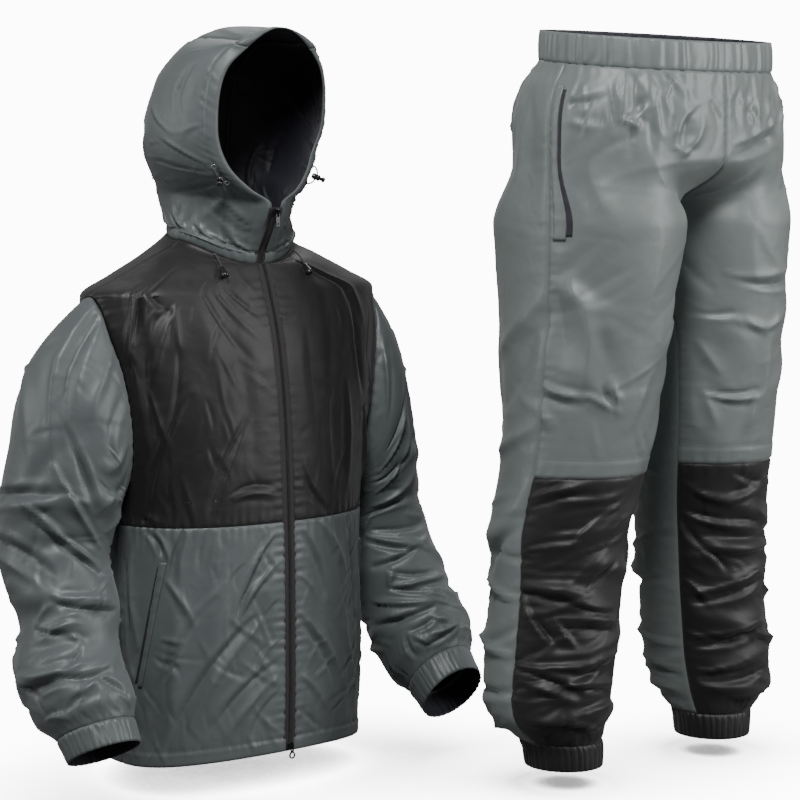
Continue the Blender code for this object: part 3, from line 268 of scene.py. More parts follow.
def torso_base(turn, height):
    """A point of the jacket's body. turn is in degrees from the front centre, positive to the wearer's left."""
    front = np.cos(np.radians(turn))
    z = height + np.where(
        front > 0,
        column(TORSO, 1, height) * front**2,
        column(TORSO, 2, height) * front**2,
    )
    depth = np.where(front > 0, column(TORSO, 4, height), column(TORSO, 5, height))
    x, y = power_ring(turn, column(TORSO, 3, height), depth, column(TORSO, 6, height))
    return np.stack(np.broadcast_arrays(x, y, z), axis=-1)


def torso_lift(turn, height):
    """The body's folds, with none at the hem, at the neck and beside the zip."""
    plain = ease((height - HEM) / 0.03) * ease((NECK - 0.03 - height) / 0.05)
    beside_zip = ease((np.abs(turn) - 4) / 8)
    at_side = np.abs(90 - np.abs(turn))
    beside_arm = np.where(height > UNDERARM - 0.03, ease((at_side - ARMHOLE_IN) / 10), 1.0)
    return folds_at(BODY_FOLDS, turn, height, 0.0034) * plain * beside_zip * beside_arm


def hundredth(surface):
    """The surface with degrees given in hundreds, so that both parameters have like steps."""
    return lambda u, v: surface(u * 100, v)


torso = raised(hundredth(torso_base), lambda u, v: torso_lift(u * 100, v))


def armhole_turn(height):
    """Degrees from the front or back centre to the armhole at this height."""
    share = np.clip((height - UNDERARM) / (SHOULDER - UNDERARM), 0, 1)
    return 90 - ARMHOLE_IN * np.sqrt(np.maximum(0, 1 - (2 * share - 1) ** 2))


def armhole(turn):
    """The armhole seam on the left, by degrees round it: 0 shoulder, 90 front, 180 underarm, 270 back."""
    height = SHOULDER + (UNDERARM - SHOULDER) * (1 - np.cos(np.radians(turn))) / 2
    inwards = ARMHOLE_IN * np.sin(np.radians(turn))
    return torso_base(90 - inwards, height)


def sleeve_surface(side):
    """A sleeve as (degrees / 100 round it from the outer side towards the front, length along it)."""
    x_column, y_column, half_column, lean_column = (1, 3, 6, 10) if side == RIGHT else (2, 4, 7, 11)

    def base(u, along):
        turn = u * 100
        lean = np.radians(column(ARM, lean_column, along))
        out = column(ARM, half_column, along) * np.cos(np.radians(turn))
        rise = column(ARM, 9, along) * np.cos(np.radians(turn))
        front = column(ARM, 8, along) * np.sin(np.radians(turn))
        ring = np.stack([
            column(ARM, x_column, along) + out,
            column(ARM, y_column, along) - front * np.cos(lean),
            column(ARM, 5, along) + front * np.sin(lean) + rise,
        ], axis=-1)
        joined = ease(along / 0.10)[..., None]
        return armhole(turn) * (1 - joined) + ring * joined

    def lift(u, along):
        plain = ease(along / 0.06) * ease((CUFF_TOP - along) / 0.02)
        shifted = u * 100 if side == RIGHT else u * 100 + 25
        return folds_at(ARM_FOLDS, shifted, along, 0.0013, wrap=360) * plain

    shape = raised(base, lift)
    mirrored = np.array([side, 1, 1])
    return lambda u, v: shape(u, v) * mirrored


def gathered(surface, waves, lift, around=3.6):
    """A ring surface with gathers round it."""
    return raised(surface, lambda u, v: lift * np.cos(u / around * 2 * math.pi * waves) + 0 * v)


def hood_side_surface(side):
    """One side of the hood as (share from the face edge to the crown seam, share up from the neck)."""

    def base(p, q):
        face = np.stack([
            column(FACE, 1 if side == RIGHT else 2, q), column(FACE, 3, q), column(FACE, 4, q)
        ], axis=-1)
        crown = np.stack([column(CROWN, 1, q), column(CROWN, 2, q), column(CROWN, 3, q)], axis=-1)
        p, q = np.broadcast_arrays(p, q)
        straight = face * (1 - p[..., None]) + crown * p[..., None]
        across = 0.050 * (1 - q**3) + 0.018
        wave = np.sin(math.pi * p)
        bulge = np.sign(wave) * np.abs(wave) ** 0.75 * across
        backwards = np.sin(math.pi * p * np.abs(p) ** 0.5) * 0.020 * (1 - q**2)
        middle = straight + np.stack([bulge, backwards, 0 * p], axis=-1)
        turn = 4.2 + (150 - 4.2) * p
        neck = torso_base(turn, 0 * p + BAND_TOP)
        low = (1 - ease(q / 0.24))[..., None]
        shift = neck - (face * (1 - p[..., None]) + crown * p[..., None])
        at_neck = straight + shift
        return middle * (1 - low) + at_neck * low

    def lift(p, q):
        plain = ease(q / 0.05) * ease((1 - q) / 0.1) * ease(p / 0.1) * ease((1 - p) / 0.1)
        return folds_at(HOOD_FOLDS, q / 0.3, p * 0.2, 0.10) * plain

    shape = raised(base, lift)
    mirrored = np.array([side, 1, 1])
    return lambda u, v: shape(u, v) * mirrored


def hood_centre_surface(c, q):
    """The hood's centre panel as (-1 right seam to 1 left seam, share from the nape to the brim)."""
    c, q = np.broadcast_arrays(np.asarray(c, float), np.asarray(q, float))
    half, y, z = (column(CROWN, i, q) for i in (1, 2, 3))
    up = ease((q - 0.35) / 0.5)
    arch = (1 - c**2) * (0.012 + 0.006 * up)
    brim = ease((q - 0.8) / 0.2)
    seam = np.stack([c * half, y + arch * (1 - up) - brim * (1 - c**2) * 0.022, z + arch * up], axis=-1)
    neck = torso_base(180 + 30 * c * -1, 0 * q + BAND_TOP)
    low = (1 - ease(q / 0.24))[..., None]
    start = np.stack([c * column(CROWN, 1, q), column(CROWN, 2, q), column(CROWN, 3, q)], axis=-1)
    return seam * (1 - low) + (start + (neck - start)) * low


def leg_base(side):
    """Half of the trousers as (share round it, height): 0 centre front or inseam, 1 side seam, 2 centre back or inseam."""

    def base(share, height):
        share, height = np.broadcast_arrays(np.asarray(share, float), np.asarray(height, float))
        front = share <= 1
        turn = 90 * share
        depth = np.where(front, column(HIPS, 2, height), column(HIPS, 3, height))
        x, y = power_ring(turn, column(HIPS, 1, height), depth, 2.15)
        slope = 0.014 * np.clip(y / 0.15, -1, 1) * ease((height - 0.1) / 0.15)
        hips = np.stack([x, y, height + slope], axis=-1)
        inseam = INSEAM_TURN * ease((FORK_LOW - height) / 0.18)
        round_leg = np.where(
            front,
            inseam + (SIDE_TURN - inseam) * share,
            SIDE_TURN + (360 + inseam - SIDE_TURN) * (share - 1),
        )
        c, s = np.cos(np.radians(round_leg)), np.sin(np.radians(round_leg))
        leg = np.stack([
            column(LEG, 1, height) - column(LEG, 3, height) * c,
            column(LEG, 2, height) - column(LEG, 4, height) * s,
            height + 0 * c,
        ], axis=-1)
        w = ease((FORK_TOP - height) / (FORK_TOP - FORK_LOW))[..., None] ** 1.4
        return hips * (1 - w) + leg * w

    return base


def leg_surface(side):
    base = leg_base(side)

    def lift(share, height):
        plain = ease((height - ANKLE_BAND) / 0.02) * ease((BAND_LOW - height) / 0.03)
        reach = np.where(height > -0.10, 0.45, 0.08)
        middle = ease(share / reach) * ease((2 - share) / reach)
        shifted = share if side == RIGHT else share + 0.07
        return folds_at(LEG_FOLDS, shifted, height, 0.17) * plain * middle

    shape = raised(base, lift)
    mirrored = np.array([side, 1, 1])
    place = np.array([TROUSER_PLACE[0], TROUSER_PLACE[1], 0])
    return lambda u, v: shape(u, v) * mirrored + place


def waist_base(turn, height):
    """The waistband: turn is in hundreds of degrees from the front centre."""
    degrees = turn * 100
    front = np.cos(np.radians(degrees))
    depth = np.where(front > 0, column(HIPS, 2, height), column(HIPS, 3, height))
    x, y = power_ring(degrees, column(HIPS, 1, height), depth, 2.15)
    slope = 0.014 * np.clip(y / 0.15, -1, 1) * ease((height - 0.1) / 0.15)
    place = np.array([TROUSER_PLACE[0], TROUSER_PLACE[1], 0])
    return np.stack(np.broadcast_arrays(x, y, height + slope), axis=-1) + place




# Creases, smaller than the folds of the solids. Columns: the two parameters of one end, the same for the
# other end, half width in mm, height in mm (below nought for a trough), bow as a share of the length
BODY_CREASES = np.array([
    # the yoke's front, wearer's right
    (-53, -0.055, -61, -0.135, 7, -4.5, -0.05), (-61, -0.135, -72, -0.235, 7, -4.5, 0.04),
    (-57, -0.060, -66, -0.150, 8, 3.0, -0.05), (-48, -0.060, -54, -0.120, 9, 2.0, 0.0),
    (-52, -0.030, -40, -0.085, 7, -2.5, 0.10), (-40, -0.085, -49, -0.120, 6, -3.0, 0.15),
    (-36, -0.080, -55, -0.200, 7, 3.2, 0.03), (-37, -0.082, -38, -0.140, 6, 2.4, 0.0),
    (-38, -0.140, -50, -0.262, 8, -3.0, -0.04), (-56, -0.200, -52, -0.265, 6, 3.0, 0.0),
    (-37, -0.205, -68, -0.355, 9, -4.2, 0.04), (-34, -0.195, -64, -0.345, 10, 2.6, 0.04),
    (-15, -0.245, -34, -0.370, 8, -3.4, 0.03), (-12, -0.240, -30, -0.360, 9, 2.0, 0.03),
    (-20, -0.028, -2, -0.105, 3.5, -1.8, 0.04), (-23, -0.030, -5, -0.130, 3.5, 1.6, 0.05),
    (-27, -0.032, -8, -0.165, 4, -1.6, 0.05), (-16, -0.022, -3, -0.070, 3, 1.4, 0.0),
    (-24, -0.345, -5, -0.338, 5, -2.6, -0.12), (-22, -0.352, -6, -0.350, 6, 2.4, -0.10),
    (-80, -0.300, -72, -0.376, 7, -3.6, 0.08), (-84, -0.250, -66, -0.320, 8, 3.0, -0.10),
    (-86, -0.335, -60, -0.384, 8, 2.6, 0.05), (-46, -0.320, -42, -0.385, 7, 1.8, 0.0),
    # the yoke's front, wearer's left
    (24, -0.012, 36, -0.090, 6, -3.0, -0.05), (36, -0.090, 46, -0.215, 7, -4.0, 0.05),
    (29, -0.020, 44, -0.110, 7, 2.4, -0.05), (18, -0.220, 21, -0.335, 8, 2.4, 0.03),
    (10, -0.120, 12, -0.260, 9, -1.8, 0.0), (30, -0.200, 34, -0.350, 9, 2.4, -0.03),
    (50, -0.240, 62, -0.345, 8, 3.2, 0.05), (58, -0.260, 74, -0.330, 7, -3.2, -0.06),
    (6, -0.300, 18, -0.372, 6, 2.0, 0.1), (7, -0.330, 20, -0.384, 6, -1.8, 0.1),
    # the lower front, wearer's right
    (-34, -0.490, -68, -0.655, 9, -3.4, 0.05), (-30, -0.470, -62, -0.650, 11, 2.6, 0.05),
    (-16, -0.525, -58, -0.704, 9, -4.0, 0.05), (-12, -0.530, -50, -0.700, 11, 2.8, 0.05),
    (-5, -0.595, -37, -0.690, 8, -3.0, 0.05), (-6, -0.620, -29, -0.700, 8, 2.6, 0.04),
    (-5, -0.410, -23, -0.530, 4.5, -4.4, 0.08), (-7, -0.408, -21, -0.500, 5, 2.8, 0.08),
    (-5, -0.448, -23, -0.532, 4.5, 3.6, 0.10), (-6, -0.462, -22, -0.540, 4, -2.6, 0.10),
    (-20, -0.446, -24, -0.476, 4, -2.0, 0.2), (-50, -0.396, -55, -0.455, 7, -3.0, 0.06),
    (-45, -0.396, -51, -0.462, 7, 2.6, 0.08), (-37, -0.396, -41, -0.448, 6, -2.2, 0.08),
    (-31, -0.396, -36, -0.440, 6, 1.8, 0.0), (-70, -0.396, -60, -0.436, 6, -4.0, -0.12),
    (-64, -0.396, -57, -0.436, 6, 3.2, -0.12), (-58, -0.465, -44, -0.525, 8, 3.2, -0.05),
    (-62, -0.548, -50, -0.552, 5, 1.8, 0.0), (-66, -0.575, -52, -0.590, 6, -1.8, 0.05),
    (-80, -0.420, -76, -0.560, 8, 3.6, 0.05), (-86, -0.440, -82, -0.600, 7, -3.4, 0.0),
    (-84, -0.560, -70, -0.640, 8, 2.8, 0.1), (-90, -0.600, -74, -0.690, 8, -2.6, 0.1),
    (-4, -0.640, -16, -0.700, 5, -2.2, 0.08), (-5, -0.560, -14, -0.610, 4, 2.0, 0.1),
    (-4, -0.500, -10, -0.530, 3.5, -1.8, 0.1), (-24, -0.620, -40, -0.714, 10, 1.6, 0.0),
    # the lower front, wearer's left
    (14, -0.396, 32, -0.476, 8, 3.0, -0.05), (4, -0.406, 17, -0.500, 6, -2.6, -0.06),
    (6, -0.404, 20, -0.510, 6, 2.4, -0.06), (4, -0.526, 29, -0.645, 7, 3.0, -0.05),
    (4, -0.540, 26, -0.655, 7, -2.8, -0.05), (3, -0.618, 18, -0.676, 6, 2.4, -0.05),
    (4, -0.470, 12, -0.505, 4, 2.0, -0.1), (34, -0.400, 46, -0.560, 9, -3.0, -0.04),
    (30, -0.560, 44, -0.700, 10, 2.6, -0.05), (55, -0.480, 64, -0.680, 10, 3.2, 0.05),
    (74, -0.460, 70, -0.640, 9, -3.0, 0.0), (4, -0.675, 16, -0.712, 5, -2.4, 0.0),
    # the back
    (176, -0.060, 184, -0.330, 11, 3.0, 0.04), (160, -0.080, 150, -0.340, 10, -3.0, 0.04),
    (200, -0.090, 212, -0.350, 10, -3.2, -0.04), (128, -0.090, 134, -0.200, 8, 3.4, -0.10),
    (232, -0.090, 226, -0.220, 8, 3.4, 0.10), (116, -0.200, 140, -0.350, 8, 3.6, 0.08),
    (244, -0.200, 218, -0.360, 8, 3.6, -0.08), (120, -0.240, 150, -0.370, 7, -3.0, 0.08),
    (240, -0.250, 214, -0.380, 7, -3.0, -0.08), (170, -0.300, 192, -0.380, 8, 2.2, 0.10),
    (130, -0.400, 124, -0.600, 9, -3.6, 0.04), (138, -0.396, 146, -0.640, 10, 3.2, 0.03),
    (156, -0.430, 168, -0.690, 10, -3.0, 0.03), (182, -0.410, 176, -0.620, 10, 3.2, 0.0),
    (196, -0.450, 206, -0.700, 10, -3.2, -0.03), (214, -0.400, 208, -0.560, 8, 3.0, 0.06),
    (230, -0.430, 238, -0.660, 10, 3.4, -0.03), (250, -0.410, 246, -0.600, 8, -3.2, 0.04),
    (104, -0.400, 110, -0.560, 8, 3.2, 0.05), (100, -0.500, 116, -0.690, 9, -3.0, 0.05),
    (262, -0.500, 256, -0.700, 9, 3.0, -0.05), (186, -0.560, 170, -0.700, 9, 2.4, 0.08),
])
SLEEVE_CREASES = {
    RIGHT: np.array([
        (32, 0.035, 50, 0.150, 10, -7.0, -0.04), (50, 0.150, 88, 0.212, 8, -6.0, 0.05),
        (18, 0.040, 44, 0.195, 7, 4.0, -0.03), (44, 0.195, 108, 0.275, 6, 5.0, 0.03),
        (58, 0.030, 66, 0.120, 8, 3.4, 0.03), (84, 0.030, 92, 0.110, 7, -3.0, -0.03),
        (108, 0.060, 96, 0.150, 6, 4.0, 0.08), (128, 0.080, 110, 0.170, 6, -4.4, 0.10),
        (118, 0.150, 98, 0.222, 5, 4.0, 0.0), (134, 0.160, 118, 0.240, 6, 4.0, 0.10),
        (-26, 0.236, 61, 0.220, 6, -6.0, -0.06), (-20, 0.252, 50, 0.236, 7, 4.0, -0.05),
        (24, 0.242, 66, 0.272, 5, 4.6, 0.0), (30, 0.262, 76, 0.290, 5, -3.6, 0.0),
        (-34, 0.282, 50, 0.318, 6, -6.0, 0.08), (-30, 0.298, 34, 0.330, 6, 4.4, 0.08),
        (54, 0.268, 106, 0.318, 5, 5.0, 0.04), (58, 0.284, 112, 0.334, 5, -4.6, 0.04),
        (88, 0.354, 126, 0.320, 6, 4.6, 0.0), (17, 0.378, 42, 0.352, 5, 4.6, 0.10),
        (42, 0.352, 118, 0.380, 6, -6.4, -0.08), (44, 0.344, 110, 0.362, 7, 4.6, -0.05),
        (17, 0.380, 60, 0.406, 5, -4.6, -0.05), (60, 0.406, 76, 0.428, 4, 4.2, 0.12),
        (76, 0.428, 48, 0.456, 5, -4.0, 0.12), (30, 0.398, 70, 0.392, 5, 3.6, 0.10),
        (-16, 0.454, 43, 0.464, 6, -6.0, -0.08), (43, 0.464, 96, 0.472, 5, -6.4, -0.10),
        (-10, 0.440, 90, 0.456, 8, 5.2, -0.06), (-30, 0.446, 14, 0.480, 5, -4.6, 0.08),
        (12, 0.482, 46, 0.480, 6, 3.8, 0.08), (80, 0.480, 112, 0.506, 5, -6.0, 0.06),
        (62, 0.492, 84, 0.478, 4, 3.6, 0.0), (34, 0.510, 60, 0.498, 5, -3.4, 0.1),
        (0, 0.512, 30, 0.520, 5, 3.4, 0.1), (96, 0.500, 120, 0.524, 4, 3.4, 0.0),
        (150, 0.300, 220, 0.260, 7, 4.6, 0.06), (160, 0.330, 250, 0.300, 7, -4.6, 0.06),
        (150, 0.390, 260, 0.350, 7, 5.0, 0.05), (140, 0.430, 240, 0.420, 6, -5.0, -0.06),
        (170, 0.470, 280, 0.440, 7, 5.0, 0.05), (150, 0.505, 250, 0.490, 6, -4.0, 0.04),
        (210, 0.100, 250, 0.220, 9, 4.0, 0.05), (250, 0.090, 300, 0.200, 9, -4.0, 0.05),
        (290, 0.200, 340, 0.300, 7, 4.4, 0.05), (270, 0.250, 330, 0.350, 7, -4.4, 0.05),
        (280, 0.390, 345, 0.380, 7, 4.4, 0.08), (290, 0.460, 350, 0.500, 6, -4.0, 0.05),
        (300, 0.060, 330, 0.170, 8, 3.0, 0.0),
    ]),
    LEFT: np.array([
        (100, 0.070, 62, 0.045, 6, 4.0, 0.0), (112, 0.125, 70, 0.118, 6, -4.6, 0.05),
        (122, 0.158, 76, 0.128, 6, 4.6, 0.04), (126, 0.186, 60, 0.190, 7, -4.6, 0.05),
        (130, 0.210, 70, 0.170, 5, 4.0, 0.05), (134, 0.240, 64, 0.232, 8, 5.0, 0.06),
        (150, 0.260, 80, 0.262, 7, -5.0, -0.06), (60, 0.100, 50, 0.220, 8, 3.0, 0.0),
        (147, 0.310, 93, 0.346, 5, 5.4, 0.05), (150, 0.322, 110, 0.348, 5, -4.6, 0.05),
        (138, 0.300, 52, 0.312, 6, -6.0, 0.08), (150, 0.305, 140, 0.262, 5, 4.0, 0.0),
        (93, 0.348, 153, 0.362, 5, -5.6, -0.08), (60, 0.330, 90, 0.345, 6, 3.4, 0.0),
        (145, 0.400, 136, 0.380, 5, 4.0, 0.0), (136, 0.378, 79, 0.394, 5, -6.0, 0.12),
        (142, 0.402, 66, 0.402, 6, 5.2, 0.10), (145, 0.404, 104, 0.432, 5, -5.4, 0.05),
        (172, 0.410, 108, 0.452, 5, 5.2, 0.05), (108, 0.462, 186, 0.442, 6, -6.0, -0.08),
        (111, 0.436, 60, 0.464, 5, -5.0, 0.05), (104, 0.424, 62, 0.448, 5, 4.4, 0.05),
        (147, 0.482, 113, 0.480, 5, -5.0, 0.12), (113, 0.476, 96, 0.492, 5, 4.4, 0.08),
        (152, 0.486, 154, 0.526, 4, -5.4, 0.10), (144, 0.494, 128, 0.520, 5, 4.0, 0.0),
        (135, 0.520, 93, 0.512, 4, -4.4, 0.10), (120, 0.508, 84, 0.500, 4, 3.8, 0.10),
        (190, 0.300, 240, 0.270, 7, 4.6, 0.06), (180, 0.360, 260, 0.320, 7, -4.6, 0.06),
        (190, 0.400, 270, 0.370, 7, 5.0, 0.05), (190, 0.480, 280, 0.440, 7, 5.0, 0.05),
        (200, 0.440, 290, 0.400, 6, -4.6, 0.05), (220, 0.100, 262, 0.220, 9, 4.0, 0.05),
        (262, 0.090, 310, 0.210, 9, -4.0, 0.05), (300, 0.240, 350, 0.300, 7, 4.4, 0.05),
        (290, 0.300, 360, 0.360, 7, -4.4, 0.05), (300, 0.400, 380, 0.400, 7, 4.4, 0.08),
        (310, 0.470, 370, 0.480, 6, -4.0, 0.05), (10, 0.060, 20, 0.200, 9, 3.0, 0.0),
        (20, 0.240, 50, 0.300, 7, -4.0, 0.05), (-10, 0.420, 50, 0.440, 6, 4.0, 0.05),
    ]),
}
LEG_CREASES = {
    RIGHT: np.array([
        (0.58, 0.252, 0.53, 0.185, 7, 4.0, 0.04), (0.53, 0.185, 0.467, 0.170, 6, 4.0, 0.16),
        (0.467, 0.170, 0.385, 0.208, 6, 4.0, 0.10), (0.42, 0.250, 0.39, 0.205, 6, 2.6, 0.0),
        (0.50, 0.245, 0.47, 0.190, 8, -3.0, 0.0), (0.36, 0.256, 0.22, 0.207, 4, -4.0, 0.04),
        (0.33, 0.254, 0.20, 0.190, 6, 2.6, 0.04), (0.160, 0.210, 0.26, 0.144, 6, 4.0, -0.08),
        (0.26, 0.144, 0.22, 0.130, 5, 3.6, 0.20), (0.22, 0.132, 0.12, 0.190, 6, 4.0, -0.06),
        (0.20, 0.200, 0.22, 0.150, 5, -3.2, 0.0), (0.95, 0.206, 0.66, 0.214, 7, -3.0, -0.10),
        (0.92, 0.190, 0.68, 0.170, 8, 2.0, -0.10), (0.84, 0.045, 0.70, 0.128, 12, -2.6, 0.03),
        (0.78, 0.060, 0.62, 0.180, 14, 2.4, 0.03), (0.38, 0.140, 0.34, -0.150, 16, 3.4, 0.02),
        (0.90, -0.035, 0.83, -0.080, 9, 4.6, -0.08), (0.83, -0.080, 0.79, -0.190, 8, 4.6, 0.04),
        (0.95, -0.060, 0.90, -0.170, 12, -4.6, 0.0), (1.0, -0.190, 0.80, -0.206, 6, 4.4, -0.04),
        (0.99, -0.206, 0.82, -0.218, 7, -3.4, -0.04), (1.0, -0.215, 0.95, -0.250, 6, 3.6, 0.0),
        (0.79, -0.200, 0.605, -0.228, 6, 3.4, 0.04), (0.605, -0.228, 0.67, -0.178, 4, 3.6, 0.0),
        (0.70, -0.190, 0.61, -0.226, 5, -3.2, 0.0), (0.42, -0.170, 0.52, -0.250, 8, 2.0, 0.0),
        (0.25, 0.080, 0.30, -0.100, 14, -2.6, 0.0), (0.10, 0.060, 0.20, -0.040, 9, 3.0, 0.0),
        (0.12, 0.020, 0.30, -0.060, 8, -3.0, 0.04), (0.08, -0.120, 0.22, -0.200, 8, 3.0, 0.05),
        (0.56, 0.040, 0.54, -0.100, 18, 2.4, 0.0),
        # lower leg, front
        (1.0, -0.352, 0.70, -0.329, 5, 3.4, 0.05), (0.98, -0.366, 0.68, -0.340, 5, -3.0, 0.05),
        (0.86, -0.352, 0.46, -0.345, 5, 2.4, -0.05), (0.97, -0.427, 0.70, -0.413, 4, 3.4, 0.05),
        (0.70, -0.413, 0.44, -0.357, 4, 3.6, 0.06), (0.60, -0.486, 0.40, -0.444, 6, -4.0, 0.05),
        (0.68, -0.470, 0.50, -0.430, 8, 2.6, 0.05), (1.0, -0.486, 0.69, -0.498, 6, -6.0, 0.05),
        (0.69, -0.498, 0.40, -0.518, 5, -5.0, -0.06), (0.96, -0.474, 0.60, -0.486, 8, 4.6, 0.05),
        (0.98, -0.492, 0.80, -0.554, 5, 5.0, -0.06), (0.78, -0.522, 0.64, -0.562, 4, 4.6, 0.0),
        (0.90, -0.520, 0.74, -0.560, 5, -4.6, 0.0), (0.77, -0.520, 0.35, -0.530, 5, 4.6, 0.06),
        (0.76, -0.534, 0.38, -0.544, 5, -4.4, 0.05), (0.99, -0.592, 0.58, -0.628, 5, -5.4, 0.05),
        (0.99, -0.590, 0.27, -0.572, 6, 5.6, -0.05), (0.94, -0.612, 0.60, -0.640, 6, 4.4, 0.05),
        (0.67, -0.616, 0.30, -0.576, 6, 5.2, -0.08), (0.64, -0.600, 0.32, -0.590, 5, -4.6, -0.08),
        (0.66, -0.622, 0.26, -0.634, 6, -5.4, 0.05), (0.66, -0.700, 0.33, -0.671, 6, 4.8, 0.05),
        (0.90, -0.672, 0.50, -0.690, 6, -4.4, 0.05), (0.60, -0.660, 0.20, -0.654, 7, 4.4, 0.08),
        (0.20, -0.420, 0.05, -0.480, 7, 3.6, 0.0), (0.18, -0.520, 0.02, -0.560, 6, -4.0, 0.0),
        # side and back
        (1.02, -0.060, 1.24, -0.150, 9, 4.0, 0.05), (1.05, -0.120, 1.20, -0.230, 8, -4.0, 0.05),
        (1.03, -0.250, 1.30, -0.300, 9, 4.0, 0.05), (1.02, -0.330, 1.16, -0.420, 8, 4.4, 0.05),
        (1.04, -0.400, 1.22, -0.470, 7, -4.6, -0.05), (1.02, -0.500, 1.30, -0.470, 7, 5.0, 0.05),
        (1.02, -0.540, 1.26, -0.580, 6, -5.4, 0.05), (1.02, -0.580, 1.34, -0.560, 7, 5.0, 0.05),
        (1.03, -0.630, 1.36, -0.640, 7, -4.6, 0.05), (1.03, -0.675, 1.30, -0.690, 6, 4.4, 0.05),
        (1.20, 0.200, 1.26, 0.020, 12, 3.4, 0.03), (1.40, 0.210, 1.46, -0.060, 12, -3.4, 0.03),
        (1.62, 0.180, 1.55, -0.080, 12, 3.6, -0.03), (1.80, 0.150, 1.62, 0.020, 10, -3.4, 0.05),
        (1.92, 0.020, 1.60, -0.080, 8, 4.4, 0.05), (1.92, -0.030, 1.58, -0.140, 8, -4.0, 0.05),
        (1.90, -0.100, 1.50, -0.200, 8, 4.0, 0.05), (1.34, -0.120, 1.44, -0.290, 10, 3.6, 0.05),
        (1.80, -0.260, 1.40, -0.320, 8, -4.0, 0.06), (1.90, -0.330, 1.40, -0.370, 7, 4.6, -0.06),
        (1.30, -0.380, 1.80, -0.430, 7, -4.6, 0.06), (1.88, -0.440, 1.40, -0.500, 7, 5.0, 0.06),
        (1.30, -0.520, 1.84, -0.560, 7, -5.0, 0.06), (1.90, -0.590, 1.42, -0.610, 7, 5.0, -0.05),
        (1.40, -0.650, 1.86, -0.670, 7, -4.6, 0.05), (1.80, -0.530, 1.50, -0.450, 6, 3.6, 0.0),
    ]),
    LEFT: np.array([
        (0.06, 0.130, 0.33, 0.166, 9, -3.6, 0.04), (0.05, 0.150, 0.36, 0.190, 9, 3.2, 0.04),
        (0.12, 0.230, 0.16, 0.150, 5, -3.4, 0.0), (0.22, 0.250, 0.20, 0.180, 6, 3.2, 0.04),
        (0.34, 0.252, 0.40, 0.170, 6, -3.0, 0.04), (0.48, 0.250, 0.52, 0.120, 8, 3.2, 0.04),
        (0.62, 0.240, 0.60, 0.060, 9, -3.0, 0.0), (0.05, 0.070, 0.22, 0.110, 7, 3.0, 0.05),
        (0.06, 0.040, 0.20, -0.060, 7, -3.6, 0.05), (0.36, -0.054, 0.68, -0.050, 6, -4.0, 0.10),
        (0.30, -0.040, 0.66, -0.034, 8, 2.8, 0.10), (0.34, -0.106, 0.47, -0.120, 6, 3.4, 0.10),
        (0.47, -0.120, 0.60, -0.100, 6, 3.4, 0.06), (0.15, -0.212, 0.44, -0.209, 5, -4.0, 0.10),
        (0.14, -0.216, 0.42, -0.222, 6, 3.4, 0.08), (0.13, -0.214, 0.20, -0.262, 6, 3.0, 0.0),
        (0.42, -0.222, 0.38, -0.270, 6, 2.6, 0.0), (0.16, -0.100, 0.30, -0.096, 6, -3.6, 0.0),
        (0.10, -0.140, 0.22, -0.190, 7, 3.0, 0.0), (0.50, -0.140, 0.46, -0.250, 10, 2.6, 0.0),
        (0.33, -0.335, 0.53, -0.352, 6, -3.6, 0.04), (0.05, -0.353, 0.29, -0.378, 5, 3.6, 0.06),
        (0.29, -0.378, 0.59, -0.349, 5, 3.8, 0.06), (0.27, -0.366, 0.52, -0.350, 7, -3.0, 0.06),
        (0.06, -0.393, 0.30, -0.407, 5, -4.6, 0.04), (0.30, -0.407, 0.56, -0.416, 5, -4.6, -0.05),
        (0.08, -0.406, 0.50, -0.426, 7, 3.8, 0.0), (0.16, -0.430, 0.78, -0.434, 8, -6.0, 0.04),
        (0.14, -0.446, 0.76, -0.452, 8, 4.6, 0.04), (0.02, -0.400, 0.13, -0.444, 4, -4.6, 0.05),
        (0.13, -0.444, 0.30, -0.482, 4, -5.0, -0.05), (0.06, -0.520, 0.64, -0.476, 6, 5.0, 0.05),
        (0.08, -0.534, 0.62, -0.496, 6, -4.6, 0.05), (0.04, -0.500, 0.20, -0.530, 6, 3.4, 0.0),
        (0.07, -0.602, 0.48, -0.578, 6, -5.4, 0.05), (0.06, -0.586, 0.60, -0.556, 7, 4.6, 0.05),
        (0.48, -0.580, 0.80, -0.604, 6, 4.6, 0.05), (0.08, -0.640, 0.39, -0.622, 6, 5.0, 0.05),
        (0.10, -0.655, 0.60, -0.640, 6, -4.6, 0.06), (0.30, -0.680, 0.70, -0.668, 6, 4.4, 0.05),
        (0.64, -0.520, 0.90, -0.540, 7, 4.4, 0.0), (0.70, -0.640, 0.98, -0.610, 7, -4.4, 0.0),
        # side and back
        (1.02, -0.060, 1.24, -0.150, 9, 4.0, 0.05), (1.05, -0.250, 1.30, -0.200, 8, -4.0, 0.05),
        (1.02, -0.330, 1.26, -0.400, 8, 4.4, 0.05), (1.04, -0.450, 1.30, -0.430, 7, -4.6, -0.05),
        (1.02, -0.520, 1.30, -0.560, 7, 5.0, 0.05), (1.02, -0.600, 1.34, -0.590, 7, -5.0, 0.05),
        (1.03, -0.660, 1.30, -0.670, 7, 4.6, 0.05), (1.24, 0.200, 1.22, 0.010, 12, 3.4, 0.03),
        (1.44, 0.210, 1.42, -0.080, 12, -3.4, 0.03), (1.66, 0.180, 1.58, -0.060, 12, 3.6, -0.03),
        (1.84, 0.130, 1.60, 0.040, 10, -3.4, 0.05), (1.93, 0.000, 1.62, -0.100, 8, 4.4, 0.05),
        (1.94, -0.060, 1.66, -0.170, 8, -4.4, 0.05), (1.94, -0.140, 1.70, -0.230, 7, 4.4, 0.05),
        (1.94, -0.250, 1.66, -0.290, 6, -4.0, 0.05), (1.95, -0.340, 1.70, -0.320, 6, 4.0, 0.05),
